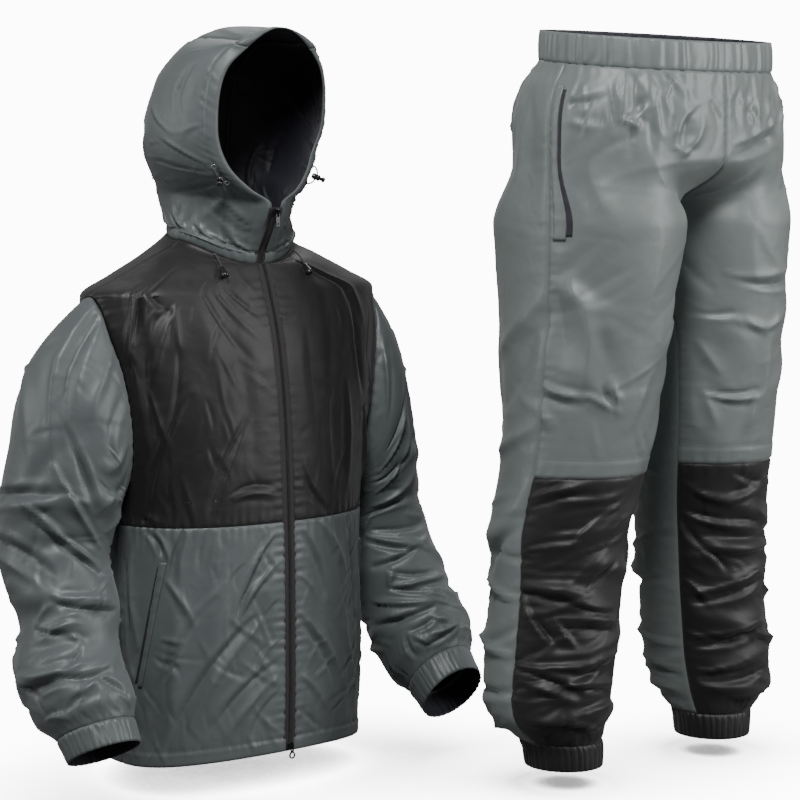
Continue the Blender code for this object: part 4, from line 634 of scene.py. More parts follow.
        (1.94, -0.420, 1.60, -0.470, 7, 4.6, -0.06), (1.34, -0.380, 1.76, -0.400, 7, -4.6, 0.06),
        (1.94, -0.500, 1.50, -0.540, 7, -5.0, 0.06), (1.30, -0.480, 1.72, -0.500, 7, 5.0, 0.06),
        (1.95, -0.600, 1.60, -0.590, 6, 5.0, -0.05), (1.96, -0.650, 1.64, -0.646, 7, -6.0, 0.05),
        (1.97, -0.672, 1.60, -0.676, 7, 5.6, 0.05), (1.30, -0.620, 1.70, -0.640, 7, -4.6, 0.05),
    ]),
}
HOOD_CREASES = np.array([
    (0.06, 0.050, 0.16, 0.150, 6, 3.4, 0.08), (0.14, 0.030, 0.20, 0.130, 5, -3.0, 0.0),
    (0.22, 0.020, 0.34, 0.150, 7, 3.6, 0.08), (0.34, 0.020, 0.36, 0.110, 5, -3.2, 0.0),
    (0.42, 0.020, 0.52, 0.160, 7, 3.4, 0.06), (0.54, 0.020, 0.55, 0.120, 5, -3.0, 0.0),
    (0.64, 0.020, 0.68, 0.140, 7, 3.2, 0.05), (0.78, 0.020, 0.74, 0.130, 6, -2.8, 0.05),
    (0.10, 0.340, 0.30, 0.160, 7, 3.2, 0.05), (0.12, 0.330, 0.42, 0.240, 6, -2.6, 0.05),
    (0.10, 0.430, 0.36, 0.520, 7, 2.6, -0.05), (0.12, 0.380, 0.50, 0.400, 8, -2.2, 0.05),
    (0.30, 0.560, 0.62, 0.700, 10, 2.4, 0.05), (0.70, 0.300, 0.60, 0.520, 9, 2.2, 0.05),
    (0.84, 0.200, 0.80, 0.420, 8, -2.2, 0.05), (0.20, 0.620, 0.30, 0.860, 10, -2.0, 0.05),
    (0.04, 0.120, 0.26, 0.190, 5, -3.0, 0.05), (0.05, 0.160, 0.22, 0.240, 5, 3.0, 0.05),
    (0.06, 0.080, 0.30, 0.100, 6, 3.2, 0.15),
])


CREASE_WIDTH, CREASE_LIFT = 0.72, 1.55  # all the tables' widths and heights are taken times these


def creased(table, across, along, scale, wrap=None):
    """Height that a table of creases adds: a ridge or trough with a soft flank of the other sign beside it."""
    total = np.zeros(np.broadcast(across, along).shape)
    for a0, b0, a1, b1, half, lift, bow in table:
        da = across - a0
        if wrap:
            da = (da + wrap / 2) % wrap - wrap / 2
        px, py = da * scale, along - b0
        dx, dy = (a1 - a0) * scale, b1 - b0
        length = math.hypot(dx, dy)
        t = (px * dx + py * dy) / length**2
        off = (px * dy - py * dx) / length - bow * length * 4 * t * (1 - t)
        past = np.maximum(np.maximum(-t, t - 1), 0) * length
        wide = half / 1000 * CREASE_WIDTH * (0.7 + 0.6 * np.clip(t, 0, 1))
        s = off / wide
        shape = np.exp(-np.abs(s) ** 1.15) - 0.34 * np.exp(-((s - 1.9) / 1.1) ** 2)
        fade = np.exp(-((past / wide) ** 2)) * np.sin(math.pi * (0.10 + 0.80 * np.clip(t, 0, 1)))
        total = total + lift / 1000 * CREASE_LIFT * shape * fade
    return total


def small_creases(seed, count, a_range, b_range, scale, heading, spread, lengths, halves, lifts):
    """A table of small creases spread over a patch. heading is in degrees from straight along the second parameter."""
    rng = np.random.default_rng(seed)
    rows = []
    for _ in range(count):
        a, b = rng.uniform(*sorted(a_range)), rng.uniform(*sorted(b_range))
        turn = math.radians(heading + rng.normal(0, spread))
        length = rng.uniform(*lengths)
        lift = rng.uniform(*lifts) * rng.choice((-1, 1))
        reach = length * math.sin(turn) / scale
        rows.append((a, b, a + reach, b - length * math.cos(turn), rng.uniform(*halves), lift, rng.normal(0, 0.06)))
    return np.array(rows)


def wobble(at, seed, pitch):
    """Uneven waves of about this pitch along a seam, from -1 to 1."""
    rng = np.random.default_rng(seed)
    total = 0 * at
    for _ in range(5):
        total = total + np.sin(at / (pitch * rng.uniform(0.6, 1.7)) * 2 * math.pi + rng.uniform(0, 6.3))
    return total / 3.2


# Materials
MATERIALS = {}
THREADS = 320.0  # the weave's waves to a metre are about three times this
# Columns: kind of noise, scale, strength of its bump, height in metres
WRINKLES = (
    ("RIDGED_MULTIFRACTAL", 16.0, 0.80, 0.0026),
    ("RIDGED_MULTIFRACTAL", 40.0, 0.60, 0.0011),
    ("FBM", 90.0, 0.25, 0.0008),
)


def node_material(name, colour, roughness, **inputs):
    made = bpy.data.materials.new(name)
    made.use_nodes = True
    shader = made.node_tree.nodes["Principled BSDF"]
    shader.inputs["Base Color"].default_value = (*colour, 1)
    shader.inputs["Roughness"].default_value = roughness
    for key, value in inputs.items():
        shader.inputs[key.replace("_", " ")].default_value = value
    MATERIALS[name] = made
    return made, made.node_tree, shader


def link(tree, source, output, target, socket):
    tree.links.new(source.outputs[output], target.inputs[socket])


def add(tree, kind, **values):
    node = tree.nodes.new(kind)
    for key, value in values.items():
        if hasattr(node, key):
            setattr(node, key, value)
        else:
            node.inputs[key.replace("_", " ")].default_value = value
    return node


def coated_cloth(name, colour, roughness, shift):
    """Coated nylon: a plain weave, crisp small wrinkles, and a colour and gloss that drift over the panel."""
    made, tree, shader = node_material(name, colour, roughness, Sheen_Weight=0.10, Sheen_Roughness=0.5,
                                       Specular_IOR_Level=0.45)
    where = add(tree, "ShaderNodeTexCoord")
    drift = add(tree, "ShaderNodeTexNoise", Scale=7.0, Detail=3.0, Roughness=0.55)
    link(tree, where, "Object", drift, "Vector")
    ramp = add(tree, "ShaderNodeValToRGB")
    ramp.color_ramp.elements[0].position = 0.30
    ramp.color_ramp.elements[1].position = 0.72
    ramp.color_ramp.elements[0].color = (*(c * (1 - shift) for c in colour), 1)
    ramp.color_ramp.elements[1].color = (*(c * (1 + shift) for c in colour), 1)
    link(tree, drift, "Fac", ramp, "Fac")
    link(tree, ramp, "Color", shader, "Base Color")
    gloss = add(tree, "ShaderNodeMapRange", From_Min=0.3, From_Max=0.7, To_Min=roughness - 0.05,
                To_Max=roughness + 0.06)
    link(tree, drift, "Fac", gloss, "Value")
    link(tree, gloss, "Result", shader, "Roughness")
    normal = None
    # crisp wrinkles in two sizes, then the soft unevenness of the coating
    for kind, scale, strength, distance in WRINKLES:
        wrinkle = add(tree, "ShaderNodeTexNoise", noise_type=kind, Scale=scale, Detail=2.0, Roughness=0.5,
                      Distortion=0.5)
        link(tree, where, "Object", wrinkle, "Vector")
        bump = add(tree, "ShaderNodeBump", Strength=strength, Distance=distance)
        link(tree, wrinkle, "Fac", bump, "Height")
        if normal:
            link(tree, normal, "Normal", bump, "Normal")
        normal = bump
    uv = add(tree, "ShaderNodeUVMap", uv_map="cloth")
    threads = []
    for direction in ("X", "Y"):
        thread = add(tree, "ShaderNodeTexWave", bands_direction=direction, Scale=THREADS)
        link(tree, uv, "UV", thread, "Vector")
        threads.append(thread)
    weave = add(tree, "ShaderNodeMath", operation="MULTIPLY")
    for index, thread in enumerate(threads):
        tree.links.new(thread.outputs["Fac"], weave.inputs[index])
    fine = add(tree, "ShaderNodeBump", Strength=0.15, Distance=0.0002)
    link(tree, weave, "Value", fine, "Height")
    link(tree, normal, "Normal", fine, "Normal")
    link(tree, fine, "Normal", shader, "Normal")
    return made


def plain_material(name, colour, roughness, scale, strength, **inputs):
    """A finish with a fine uneven surface."""
    made, tree, shader = node_material(name, colour, roughness, **inputs)
    where = add(tree, "ShaderNodeTexCoord")
    noise = add(tree, "ShaderNodeTexNoise", Scale=scale, Detail=3.0)
    link(tree, where, "Object", noise, "Vector")
    bump = add(tree, "ShaderNodeBump", Strength=strength, Distance=0.0005)
    link(tree, noise, "Fac", bump, "Height")
    link(tree, bump, "Normal", shader, "Normal")
    vary = add(tree, "ShaderNodeMapRange", To_Min=max(roughness - 0.06, 0.03), To_Max=roughness + 0.06)
    link(tree, noise, "Fac", vary, "Value")
    link(tree, vary, "Result", shader, "Roughness")
    return made


coated_cloth("slate_jacket", (0.076, 0.087, 0.089), 0.45, 0.09)
coated_cloth("slate_trousers", (0.128, 0.146, 0.143), 0.43, 0.09)
coated_cloth("black_nylon", (0.0056, 0.0052, 0.0050), 0.52, 0.12)
coated_cloth("inner_coating", (0.012, 0.012, 0.020), 0.60, 0.10)
plain_material("tape", (0.016, 0.014, 0.014), 0.75, 900.0, 0.5)
plain_material("teeth", (0.020, 0.017, 0.016), 0.38, 300.0, 0.1)
plain_material("gloss_plastic", (0.010, 0.010, 0.011), 0.22, 200.0, 0.05, Coat_Weight=0.4)
plain_material("enamel", (0.016, 0.016, 0.018), 0.26, 260.0, 0.08, Metallic=0.5)
plain_material("cord_braid", (0.018, 0.018, 0.019), 0.80, 1500.0, 0.9, Sheen_Weight=0.2)
plain_material("ring_metal", (0.42, 0.42, 0.43), 0.34, 300.0, 0.10, Metallic=0.9)
plain_material("thread_grey", (0.060, 0.070, 0.073), 0.60, 900.0, 0.4)
plain_material("thread_black", (0.014, 0.014, 0.014), 0.60, 900.0, 0.4)

# Camera and light
AIM = Vector((0.186, -0.156, -0.226))
CAMERA_AT = Vector((-2.149, -2.938, 0.137))
FLOOR = -0.775


def look(obj, at, to):
    obj.location = at
    obj.rotation_euler = (to - at).to_track_quat("-Z", "Y").to_euler()
    bpy.context.scene.collection.objects.link(obj)
    return obj


camera = bpy.data.cameras.new("camera")
camera.lens = 112.5
camera.sensor_width = 36.0
bpy.context.scene.camera = look(bpy.data.objects.new("camera", camera), CAMERA_AT, AIM)


def softbox(name, bearing, height, distance, size, power):
    """An area light. bearing is in degrees round from the camera's side, positive to its right."""
    lamp = bpy.data.lights.new(name, "AREA")
    lamp.shape = "RECTANGLE"
    lamp.size, lamp.size_y = size
    lamp.energy = power
    turn = math.atan2(CAMERA_AT.y - AIM.y, CAMERA_AT.x - AIM.x) + math.radians(bearing)
    at = AIM + Vector((math.cos(turn) * distance, math.sin(turn) * distance, height))
    return look(bpy.data.objects.new(name, lamp), at, AIM)


softbox("key", -4, 2.4, 2.2, (0.8, 1.0), 108)
softbox("left_fill", -72, 0.9, 2.6, (0.6, 1.6), 20)
softbox("right_fill", 72, 0.8, 2.6, (0.6, 1.8), 52)
softbox("top", 170, 2.3, 1.6, (2.0, 1.0), 34)
WHITE = 12.0  # the background that the camera sees
AMBIENT = 0.20
world = bpy.data.worlds.new("studio")
bpy.context.scene.world = world
world.use_nodes = True
tree = world.node_tree
backdrop = tree.nodes["Background"]
backdrop.inputs["Color"].default_value = (1, 1, 1, 1)
seen = add(tree, "ShaderNodeLightPath")
level = add(tree, "ShaderNodeMapRange", To_Min=AMBIENT, To_Max=WHITE)
link(tree, seen, "Is Camera Ray", level, "Value")
link(tree, level, "Result", backdrop, "Strength")


def mesh_object(name, points, faces, *materials):
    mesh = bpy.data.meshes.new(name)
    mesh.from_pydata([tuple(p) for p in points], [], faces)
    for material in materials:
        mesh.materials.append(MATERIALS[material])
    mesh.shade_smooth()
    obj = bpy.data.objects.new(name, mesh)
    bpy.context.scene.collection.objects.link(obj)
    return obj


FLOOR_SIDE = 3.0
SHADOW_REACH = 0.30  # how far above the floor a garment still darkens it
floor_shade, tree, shader = node_material("floor_shade", (0.05, 0.05, 0.05), 0.95, Specular_IOR_Level=0.0)
clear = add(tree, "ShaderNodeBsdfTransparent")
nearby = add(tree, "ShaderNodeAmbientOcclusion", Distance=SHADOW_REACH)
nearby.samples = 16
shade = add(tree, "ShaderNodeMapRange", From_Min=0.96, From_Max=0.40, To_Min=0.0, To_Max=0.96)
both = add(tree, "ShaderNodeMixShader")
link(tree, nearby, "AO", shade, "Value")
link(tree, shade, "Result", both, "Fac")
tree.links.new(clear.outputs["BSDF"], both.inputs[1])
tree.links.new(shader.outputs["BSDF"], both.inputs[2])
link(tree, both, "Shader", tree.nodes["Material Output"], "Surface")
CORNERS = ((-1, -1), (1, -1), (1, 1), (-1, 1))
floor = mesh_object("floor", [(x * FLOOR_SIDE, y * FLOOR_SIDE, FLOOR) for x, y in CORNERS], [(0, 1, 2, 3)],
                    "floor_shade")

# Cloth
SHELL = 0.0010  # thickness of a shell
CELL = 0.0038  # size of a shell's faces in front, and behind
BACK_CELL = 0.0056


def lengths_along(grid, axis):
    """Distance of each point along its row or column, from that line's first point."""
    steps = np.linalg.norm(np.diff(grid, axis=axis), axis=-1)
    zero = np.zeros_like(np.take(steps, [0], axis=axis))
    return np.cumsum(np.concatenate([zero, steps], axis=axis), axis=axis)


def normals_of(grid, closed):
    if closed:
        du = np.roll(grid, -1, axis=1) - np.roll(grid, 1, axis=1)
    else:
        du = np.gradient(grid, axis=1)
    dv = np.gradient(grid, axis=0)
    normal = np.cross(du, dv)
    return normal / np.maximum(np.linalg.norm(normal, axis=-1, keepdims=True), 1e-12)


MADE = {}  # each shell's points, normals and lengths, for what is sewn on it
FLANGE_IN, FLANGE_OUT = 0.0028, 0.0018  # a seam allowance: its depth, and how far it reaches below the next panel


def flanged(points, normal, across, along, fold, edge):
    """Adds a row or column that turns in behind the cloth at a seam."""
    axis = 0 if edge < 2 else 1
    last = edge % 2 == 1
    at = -1 if last else 0
    beside = -2 if last else 1
    rim = np.take(points, [at], axis=axis)
    out = rim - np.take(points, [beside], axis=axis)
    out = out / np.maximum(np.linalg.norm(out, axis=-1, keepdims=True), 1e-9)
    added = rim + out * FLANGE_OUT - np.take(normal, [at], axis=axis) * FLANGE_IN
    result = []
    for grid, extra in ((points, added), (normal, None), (across, None), (along, None), (fold, None)):
        extra = np.take(grid, [at], axis=axis) if extra is None else extra
        result.append(np.concatenate([grid, extra] if last else [extra, grid], axis=axis))
    return result


def seam_dip(distance, at, seed, dip, pucker, pitch):
    """The groove of a seam, with puckers that run out from it."""
    groove = -dip * np.exp(-((distance / 0.0024) ** 2))
    reach = np.exp(-distance / 0.014) * (1 - np.exp(-((distance / 0.003) ** 2)))
    return groove + pucker * reach * wobble(at, seed, pitch)


def shell(name, surface, us, vs, inside, lift, materials, nodes,
          closed=False, seams=None, body="suit", folded=None):
    """A thin cloth shell on a surface, raised by lift(u, v, across, along). seams maps an edge, 0 to 3 for first
    and last row, then first and last column, to a seed."""
    u, v = np.meshgrid(np.asarray(us, float), np.asarray(vs, float))
    grid = surface(u, v)
    across, along = lengths_along(grid, 1), lengths_along(grid, 0)
    normal = normals_of(grid, closed)
    away = grid - inside(grid.reshape(-1, 3)).reshape(grid.shape)
    if (normal * away).sum() < 0:
        normal = -normal
    height = lift(u, v, across, along)
    for edge, seed in (seams or {}).items():
        distance = (along, along[-1:] - along, across, across[:, -1:] - across)[edge]
        at = across if edge < 2 else along
        height = height + seam_dip(distance, at, seed, 0.0012, 0.0011, 0.015)
    made = grid + normal * height[..., None]
    MADE[name] = (made, normal, across, along)
    fold = folded(u, v, across, along) if folded else np.zeros(u.shape, bool)
    turn_in = [edge for edge in (seams or {}) if edge < 2 or not closed]
    for edge in sorted(turn_in, reverse=True):
        made, normal, across, along, fold = flanged(made, normal, across, along, fold, edge)
    points = made.reshape(-1, 3)
    rows, columns = made.shape[:2]
    faces = []
    for r in range(rows - 1):
        for c in range(columns if closed else columns - 1):
            d = (c + 1) % columns
            faces.append((r * columns + c, r * columns + d, (r + 1) * columns + d, (r + 1) * columns + c))
    first = np.array(faces[len(faces) // 2])
    corner = points[first]
    if np.dot(np.cross(corner[2] - corner[0], corner[3] - corner[1]), normal.reshape(-1, 3)[first[0]]) < 0:
        faces = [f[::-1] for f in faces]
    obj = mesh_object(f"{name}_cloth", points, faces, *materials)
    if folded:
        obj.data.polygons.foreach_set("material_index", [2 * int(fold.ravel()[f[0]]) for f in faces])
    layer = obj.data.uv_layers.new(name="cloth")
    index = np.empty(len(obj.data.loops), np.int32)
    obj.data.loops.foreach_get("vertex_index", index)
    flat_place = np.stack([across.ravel()[index], along.ravel()[index]], axis=-1)
    layer.data.foreach_set("uv", flat_place.astype(np.float32).ravel())
    thick = obj.modifiers.new("wall", "SOLIDIFY")
    thick.thickness = SHELL
    thick.offset = -1
    thick.material_offset = 1
    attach(obj, body)
    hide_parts(*nodes)
    return obj


def upright_axis(x, y):
    return lambda points: np.stack([0 * points[:, 0] + x, 0 * points[:, 0] + y, points[:, 2]], axis=-1)


BODY_AXIS = upright_axis(0, 0.02)


def zip_turn(height):
    """Degrees from the front centre to the edge of the zip's space."""
    ratio = ZIP_HALF / column(TORSO, 3, height)
    return np.degrees(np.arcsin(ratio ** (column(TORSO, 6, height) / 2)))


def edge_turn(height):
    return np.where((height > UNDERARM) & (height < SHOULDER), armhole_turn(height), 90.0)


BODY_SCALE = 0.0034  # metres to a degree round the body
BODY_SMALL = np.concatenate([
    small_creases(11, 46, (-90, -6), (-0.07, -0.38), BODY_SCALE, 12, 26, (0.025, 0.08), (3, 6), (0.4, 1.2)),
    small_creases(12, 40, (6, 88), (-0.07, -0.38), BODY_SCALE, -12, 26, (0.025, 0.08), (3, 6), (0.4, 1.2)),
    small_creases(13, 60, (-90, -5), (-0.40, -0.71), BODY_SCALE, 22, 24, (0.025, 0.09), (3, 6), (0.5, 1.4)),
    small_creases(14, 60, (5, 90), (-0.40, -0.71), BODY_SCALE, -22, 24, (0.025, 0.09), (3, 6), (0.5, 1.4)),
    small_creases(15, 90, (92, 268), (-0.05, -0.71), BODY_SCALE, 0, 30, (0.03, 0.10), (4, 8), (0.5, 1.5)),
])
BODY_ALL = np.concatenate([BODY_CREASES, BODY_SMALL])


def beside_line(u, v, first, last, scale):
    """Nought within about a centimetre of a line, one further off."""
    dx, dy = (last[0] - first[0]) * scale, last[1] - first[1]
    px, py = (u - first[0]) * scale, v - first[1]
    t = np.clip((px * dx + py * dy) / (dx * dx + dy * dy), 0, 1)
    return ease((np.hypot(px - t * dx, py - t * dy) - 0.007) / 0.010)


def body_lift(turn, height):
    plain = ease((NECK - 0.006 - height) / 0.03)
    beside_zip = ease((np.abs(turn) - 2) / 5)
    at_side = np.abs(90 - np.abs((turn + 180) % 360 - 180))
    beside_arm = np.where(height > UNDERARM - 0.02, ease((at_side - ARMHOLE_IN * 0.9) / 8), 1.0)
    creases = creased(BODY_ALL, turn, height, BODY_SCALE, wrap=360)
    gathers = 0.0012 * np.exp(-np.abs(height - YOKE_SEAM) / 0.012) * wobble(turn * BODY_SCALE, 21, 0.013)
    by_pocket = beside_line(np.abs(turn) / 100, height, (0.61, -0.440), (0.76, -0.620), 0.34)
    return (creases + gathers) * plain * beside_zip * beside_arm * by_pocket


HEM_STITCH = 0.022  # height of the hem's stitching above the hem


def hem_lift(height, at):
    above = height - HEM
    line = -0.0011 * np.exp(-(((above - HEM_STITCH) / 0.0018) ** 2))
    fold = 0.0010 * ease((HEM_STITCH - above) / 0.002) * ease(above / 0.003)
    puckers = 0.0008 * np.exp(-np.abs(above - HEM_STITCH) / 0.008) * wobble(at, 31, 0.012)
    return line + fold + puckers


def body_surface_at(first, last):
    """The body's surface with its first parameter running from one edge to the other, whatever the height."""
    def surface(share, height):
        turn = first(height) + (last(height) - first(height)) * share
        return torso(turn / 100, height)
    return surface


def body_shell(name, first, last, columns, heights, materials, seams, hem=False):
    def lift(share, height, across, along):
        turn = first(height) + (last(height) - first(height)) * share
        total = body_lift(turn, height)
        if hem:
            total = total * ease((height - HEM) / 0.02) + hem_lift(height, turn * BODY_SCALE)
        return total

    return shell(name, body_surface_at(first, last), np.linspace(0, 1, columns), heights, BODY_AXIS, lift,
                 materials, [name], seams=seams)


def yoke_heights(low_rows, arm_rows, top_rows):
    """Rows closer together at the shoulder and the underarm, where the armhole turns."""
    turn = np.linspace(0, math.pi, arm_rows)
    arm = UNDERARM + (SHOULDER - UNDERARM) * (1 - np.cos(turn)) / 2
    low = np.linspace(YOKE_SEAM, UNDERARM, low_rows)[:-1]
    return np.concatenate([low, arm, np.linspace(SHOULDER, NECK, top_rows)[1:]])


BLACK = ("black_nylon", "inner_coating")
SLATE = ("slate_jacket", "inner_coating")
for side, tag in ((RIGHT, "r"), (LEFT, "l")):
    near_zip = lambda h, s=side: s * zip_turn(h)
    outer = lambda h, s=side: s * edge_turn(h)
    side_seam = lambda h, s=side: s * 90.0 + 0 * h
    body_shell(f"yoke_front_{tag}", near_zip, outer, 96, yoke_heights(14, 90, 30), BLACK,
               {0: 1, 2: 2, 3: 3})
    body_shell(f"lower_front_{tag}", near_zip, side_seam, 104, np.linspace(HEM, YOKE_SEAM, 116), SLATE,
               {1: 1, 2: 2, 3: 4}, hem=True)
body_shell("yoke_back", lambda h: 180 - edge_turn(h), lambda h: 180 + edge_turn(h), 84, yoke_heights(9, 60, 18),
           BLACK, {0: 1, 2: 3, 3: 3})
body_shell("lower_back", lambda h: 90.0 + 0 * h, lambda h: 270.0 + 0 * h, 110, np.linspace(HEM, YOKE_SEAM, 66),
           SLATE, {1: 1, 2: 4, 3: 4}, hem=True)


def band_surface(share, height):
    first, last = zip_turn(height), 360 - zip_turn(height)
    return torso((first + (last - first) * share) / 100, height)


shell("neck_band", band_surface, np.linspace(0, 1, 200), np.linspace(NECK, BAND_TOP, 7), BODY_AXIS,
      lambda u, v, across, along: 0.0008 * np.sin(math.pi * (v - NECK) / (BAND_TOP - NECK))
      + 0.0004 * wobble(across, 41, 0.012), SLATE, ["neck_band"], seams={0: 5, 1: 6})

# Sleeves
RING = 3.6  # a whole turn in hundreds of degrees
ARM_SCALE = 0.0013  # metres to a degree round the sleeve
CUFF_PLEATS = 34


def ring_inside(surface, alongs):
    centres = np.array([surface(np.arange(12) / 12 * RING, np.full(12, a)).mean(axis=0) for a in alongs])

    def inside(points):
        nearest = [np.argmin(((centres - p) ** 2).sum(axis=1)) for p in points[:: max(len(points) // 400, 1)]]
        chosen = np.repeat(nearest, max(len(points) // 400, 1))[: len(points)]
        return centres[chosen]

    return inside


for side, tag in ((RIGHT, "r"), (LEFT, "l")):
    sleeve = sleeve_surface(side)
    table = np.concatenate([
        SLEEVE_CREASES[side],
        small_creases(50 + side, 150, (0, 360), (0.02, 0.53), ARM_SCALE, 60, 28, (0.02, 0.055), (2.5, 5), (0.5, 1.7)),
        small_creases(60 + side, 46, (0, 360), (0.505, 0.545), ARM_SCALE, 8, 14, (0.015, 0.03), (1.6, 3), (0.6, 1.6)),
    ])

    def sleeve_lift(u, v, across, along, table=table):
        plain = ease(v / 0.025) * ease((CUFF_TOP + 0.004 - v) / 0.012)
        return creased(table, u * 100, v, ARM_SCALE, wrap=360) * plain

    turns = np.arange(140) / 140 * RING
    alongs = np.linspace(0, CUFF_TOP, 168)
    shell(f"sleeve_{tag}", sleeve, turns, alongs, ring_inside(sleeve, alongs), sleeve_lift, SLATE,
          [f"sleeve_{tag}"], closed=True, seams={0: 3, 1: 7})

    def cuff_lift(u, v, across, along, seed=side):
        share = (v - CUFF_TOP) / (ARM_END - CUFF_TOP)
        at = u / RING * CUFF_PLEATS + 0.25 * wobble(u * 0.03, 70 + seed, 0.01)
        pleat = 0.0013 * np.abs(np.sin(math.pi * at)) ** 0.7
        return pleat * (0.75 + 0.35 * np.cos(2 * math.pi * share)) + 0.0010 * np.sin(math.pi * share)

    turns = np.arange(CUFF_PLEATS * 9) / (CUFF_PLEATS * 9) * RING
    alongs = np.linspace(CUFF_TOP, ARM_END, 11)
    shell(f"cuff_{tag}", sleeve, turns, alongs, ring_inside(sleeve, alongs), cuff_lift, SLATE,
          [f"cuff_{tag}"], closed=True, seams={0: 7})

# Hood
HOOD_MIDDLE = np.array([0, 0.0, 0.16])
TUNNEL = 0.022  # from the face edge to the stitching of the cord's tunnel
for side, tag in ((RIGHT, "r"), (LEFT, "l")):
    table = np.concatenate([
        HOOD_CREASES,
        small_creases(80 + side, 50, (0.05, 0.95), (0.02, 0.30), 0.28, 10, 30, (0.02, 0.07), (3, 6), (0.5, 1.5)),
        small_creases(90 + side, 26, (0.05, 0.95), (0.30, 0.95), 0.28, 30, 40, (0.03, 0.10), (4, 8), (0.4, 1.2)),
    ])

    def hood_lift(u, v, across, along, table=table, seed=side):
        crease = creased(table, u, v, 0.28)
        plain = ease(u / 0.06) * ease((1 - u) / 0.04) * ease(v / 0.02) * ease((1 - v) / 0.05)
        line = -0.0012 * np.exp(-(((across - TUNNEL) / 0.0018) ** 2))
        tunnel = 0.0012 * ease((TUNNEL - across) / 0.003) * ease(across / 0.002)
        pucker = 0.0010 * np.exp(-np.abs(across - TUNNEL) / 0.010) * wobble(along, 95 + seed, 0.012)
        return crease * plain + line + tunnel + pucker * ease(v / 0.03)

    shell(f"hood_side_{tag}", hood_side_surface(side), np.linspace(0, 1, 84), np.linspace(0, 1, 100),
          lambda points: HOOD_MIDDLE + 0 * points, hood_lift, SLATE + ("slate_jacket", "slate_jacket"),
          [f"hood_side_{tag}"], seams={0: 6, 3: 8},
          folded=lambda u, v, across, along: across < TUNNEL)


BRIM = 0.07  # how far past one the centre panel's second parameter runs, along the sides' top edges


def brim_surface(c, q):
    """The hood's centre panel, carried on past its brim at each seam to meet the corners of the sides."""
    c, q = np.broadcast_arrays(np.asarray(c, float), np.asarray(q, float))
    inner = hood_centre_surface(c, np.minimum(q, 1))
    past = np.clip((q - 1) / BRIM, 0, 1)
    for side in (RIGHT, LEFT):
        top_edge = hood_side_surface(side)
        reach = top_edge(1 - past, 0 * past + 1) - top_edge(0 * past + 1, 0 * past + 1)
        inner = inner + reach * (np.maximum(c * side, 0) ** 1.6)[..., None]
    return inner


def crown_lift(u, v, across, along):
    brim = along[-1:] - along
    line = -0.0012 * np.exp(-(((brim - TUNNEL) / 0.0018) ** 2))
    tunnel = 0.0012 * ease((TUNNEL - brim) / 0.003) * ease(brim / 0.002)
    table = small_creases(99, 26, (-0.9, 0.9), (0.02, 0.9), 0.055, 20, 40, (0.02, 0.05), (3, 6), (0.4, 1.2))
    return creased(table, u, v * 0.42, 0.055) * ease((1 - np.abs(u)) / 0.2) + line + tunnel


shell("hood_centre", brim_surface, np.linspace(-1, 1, 40), np.linspace(0, 1 + BRIM, 118),
      lambda points: HOOD_MIDDLE + 0 * points, crown_lift, SLATE, ["hood_centre"],
      seams={0: 6, 2: 8, 3: 8})

# Trousers
LEG_SCALE = 0.17  # metres to one of a leg's shares
GREY = ("slate_trousers", "inner_coating")
KNEE_BAND = 0.028  # height of the doubled band above the knee seam


def leg_lift_of(side):
    table = np.concatenate([
        LEG_CREASES[side],
        small_creases(110 + side, 60, (0.02, 1.98), (0.19, 0.262), LEG_SCALE, 0, 9, (0.02, 0.075), (2.2, 5), (0.9, 2.6)),
        small_creases(120 + side, 60, (0.02, 1.98), (-0.30, 0.18), LEG_SCALE, 20, 40, (0.03, 0.12), (4, 8), (0.3, 1.1)),
        small_creases(130 + side, 120, (0.02, 1.98), (-0.34, -0.69), LEG_SCALE, 68, 24, (0.03, 0.08), (3, 6), (0.6, 1.8)),
        small_creases(140 + side, 60, (0.02, 1.98), (-0.68, -0.705), LEG_SCALE, 5, 14, (0.015, 0.03), (1.6, 3), (0.6, 1.6)),
    ])

    def lift(u, v, across, along):
        plain = ease((v - ANKLE_BAND) / 0.012) * ease((BAND_LOW + 0.004 - v) / 0.008)
        middle = ease(u / 0.05) * ease((2 - u) / 0.05)
        above = v - KNEE
        line = -0.0011 * np.exp(-(((above - KNEE_BAND) / 0.0018) ** 2)) * (u < 1)
        band = 0.0010 * ease((KNEE_BAND - above) / 0.002) * ease(above / 0.003) * (u < 1)
        by_pocket = beside_line(u, v, (0.93, 0.226), (0.94, 0.012), LEG_SCALE)
        return creased(table, u, v, LEG_SCALE) * plain * middle * by_pocket + line + band

    return lift


for side, tag in ((RIGHT, "r"), (LEFT, "l")):
    half = leg_surface(side)
    axis = upright_axis(TROUSER_PLACE[0] + side * 0.13, TROUSER_PLACE[1] + 0.035)
    lift = leg_lift_of(side)
    shell(f"trouser_front_{tag}", half, np.linspace(0, 1, 84), np.linspace(KNEE, BAND_LOW, 152), axis, lift, GREY,
          [f"trouser_front_{tag}"], seams={0: 9, 1: 10, 2: 11, 3: 12})
    shell(f"shin_front_{tag}", half, np.linspace(0, 1, 68), np.linspace(ANKLE_BAND, KNEE, 104), axis, lift, BLACK,
          [f"shin_front_{tag}"], seams={0: 13, 1: 9, 2: 14, 3: 12})
    shell(f"trouser_back_{tag}", half, np.linspace(1, 2, 66), np.linspace(ANKLE_BAND, BAND_LOW, 170), axis, lift, GREY,
          [f"trouser_back_{tag}"], seams={0: 13, 1: 10, 2: 12, 3: 14})


def leg_cuff(side):
    def around(u, height):
        turn = np.radians(u * 100)
        return np.stack([
            (column(LEG, 1, height) - column(LEG, 3, height) * np.cos(turn)) * side + TROUSER_PLACE[0],
            column(LEG, 2, height) - column(LEG, 4, height) * np.sin(turn) + TROUSER_PLACE[1],
            height + 0 * turn,
        ], axis=-1)
    return around


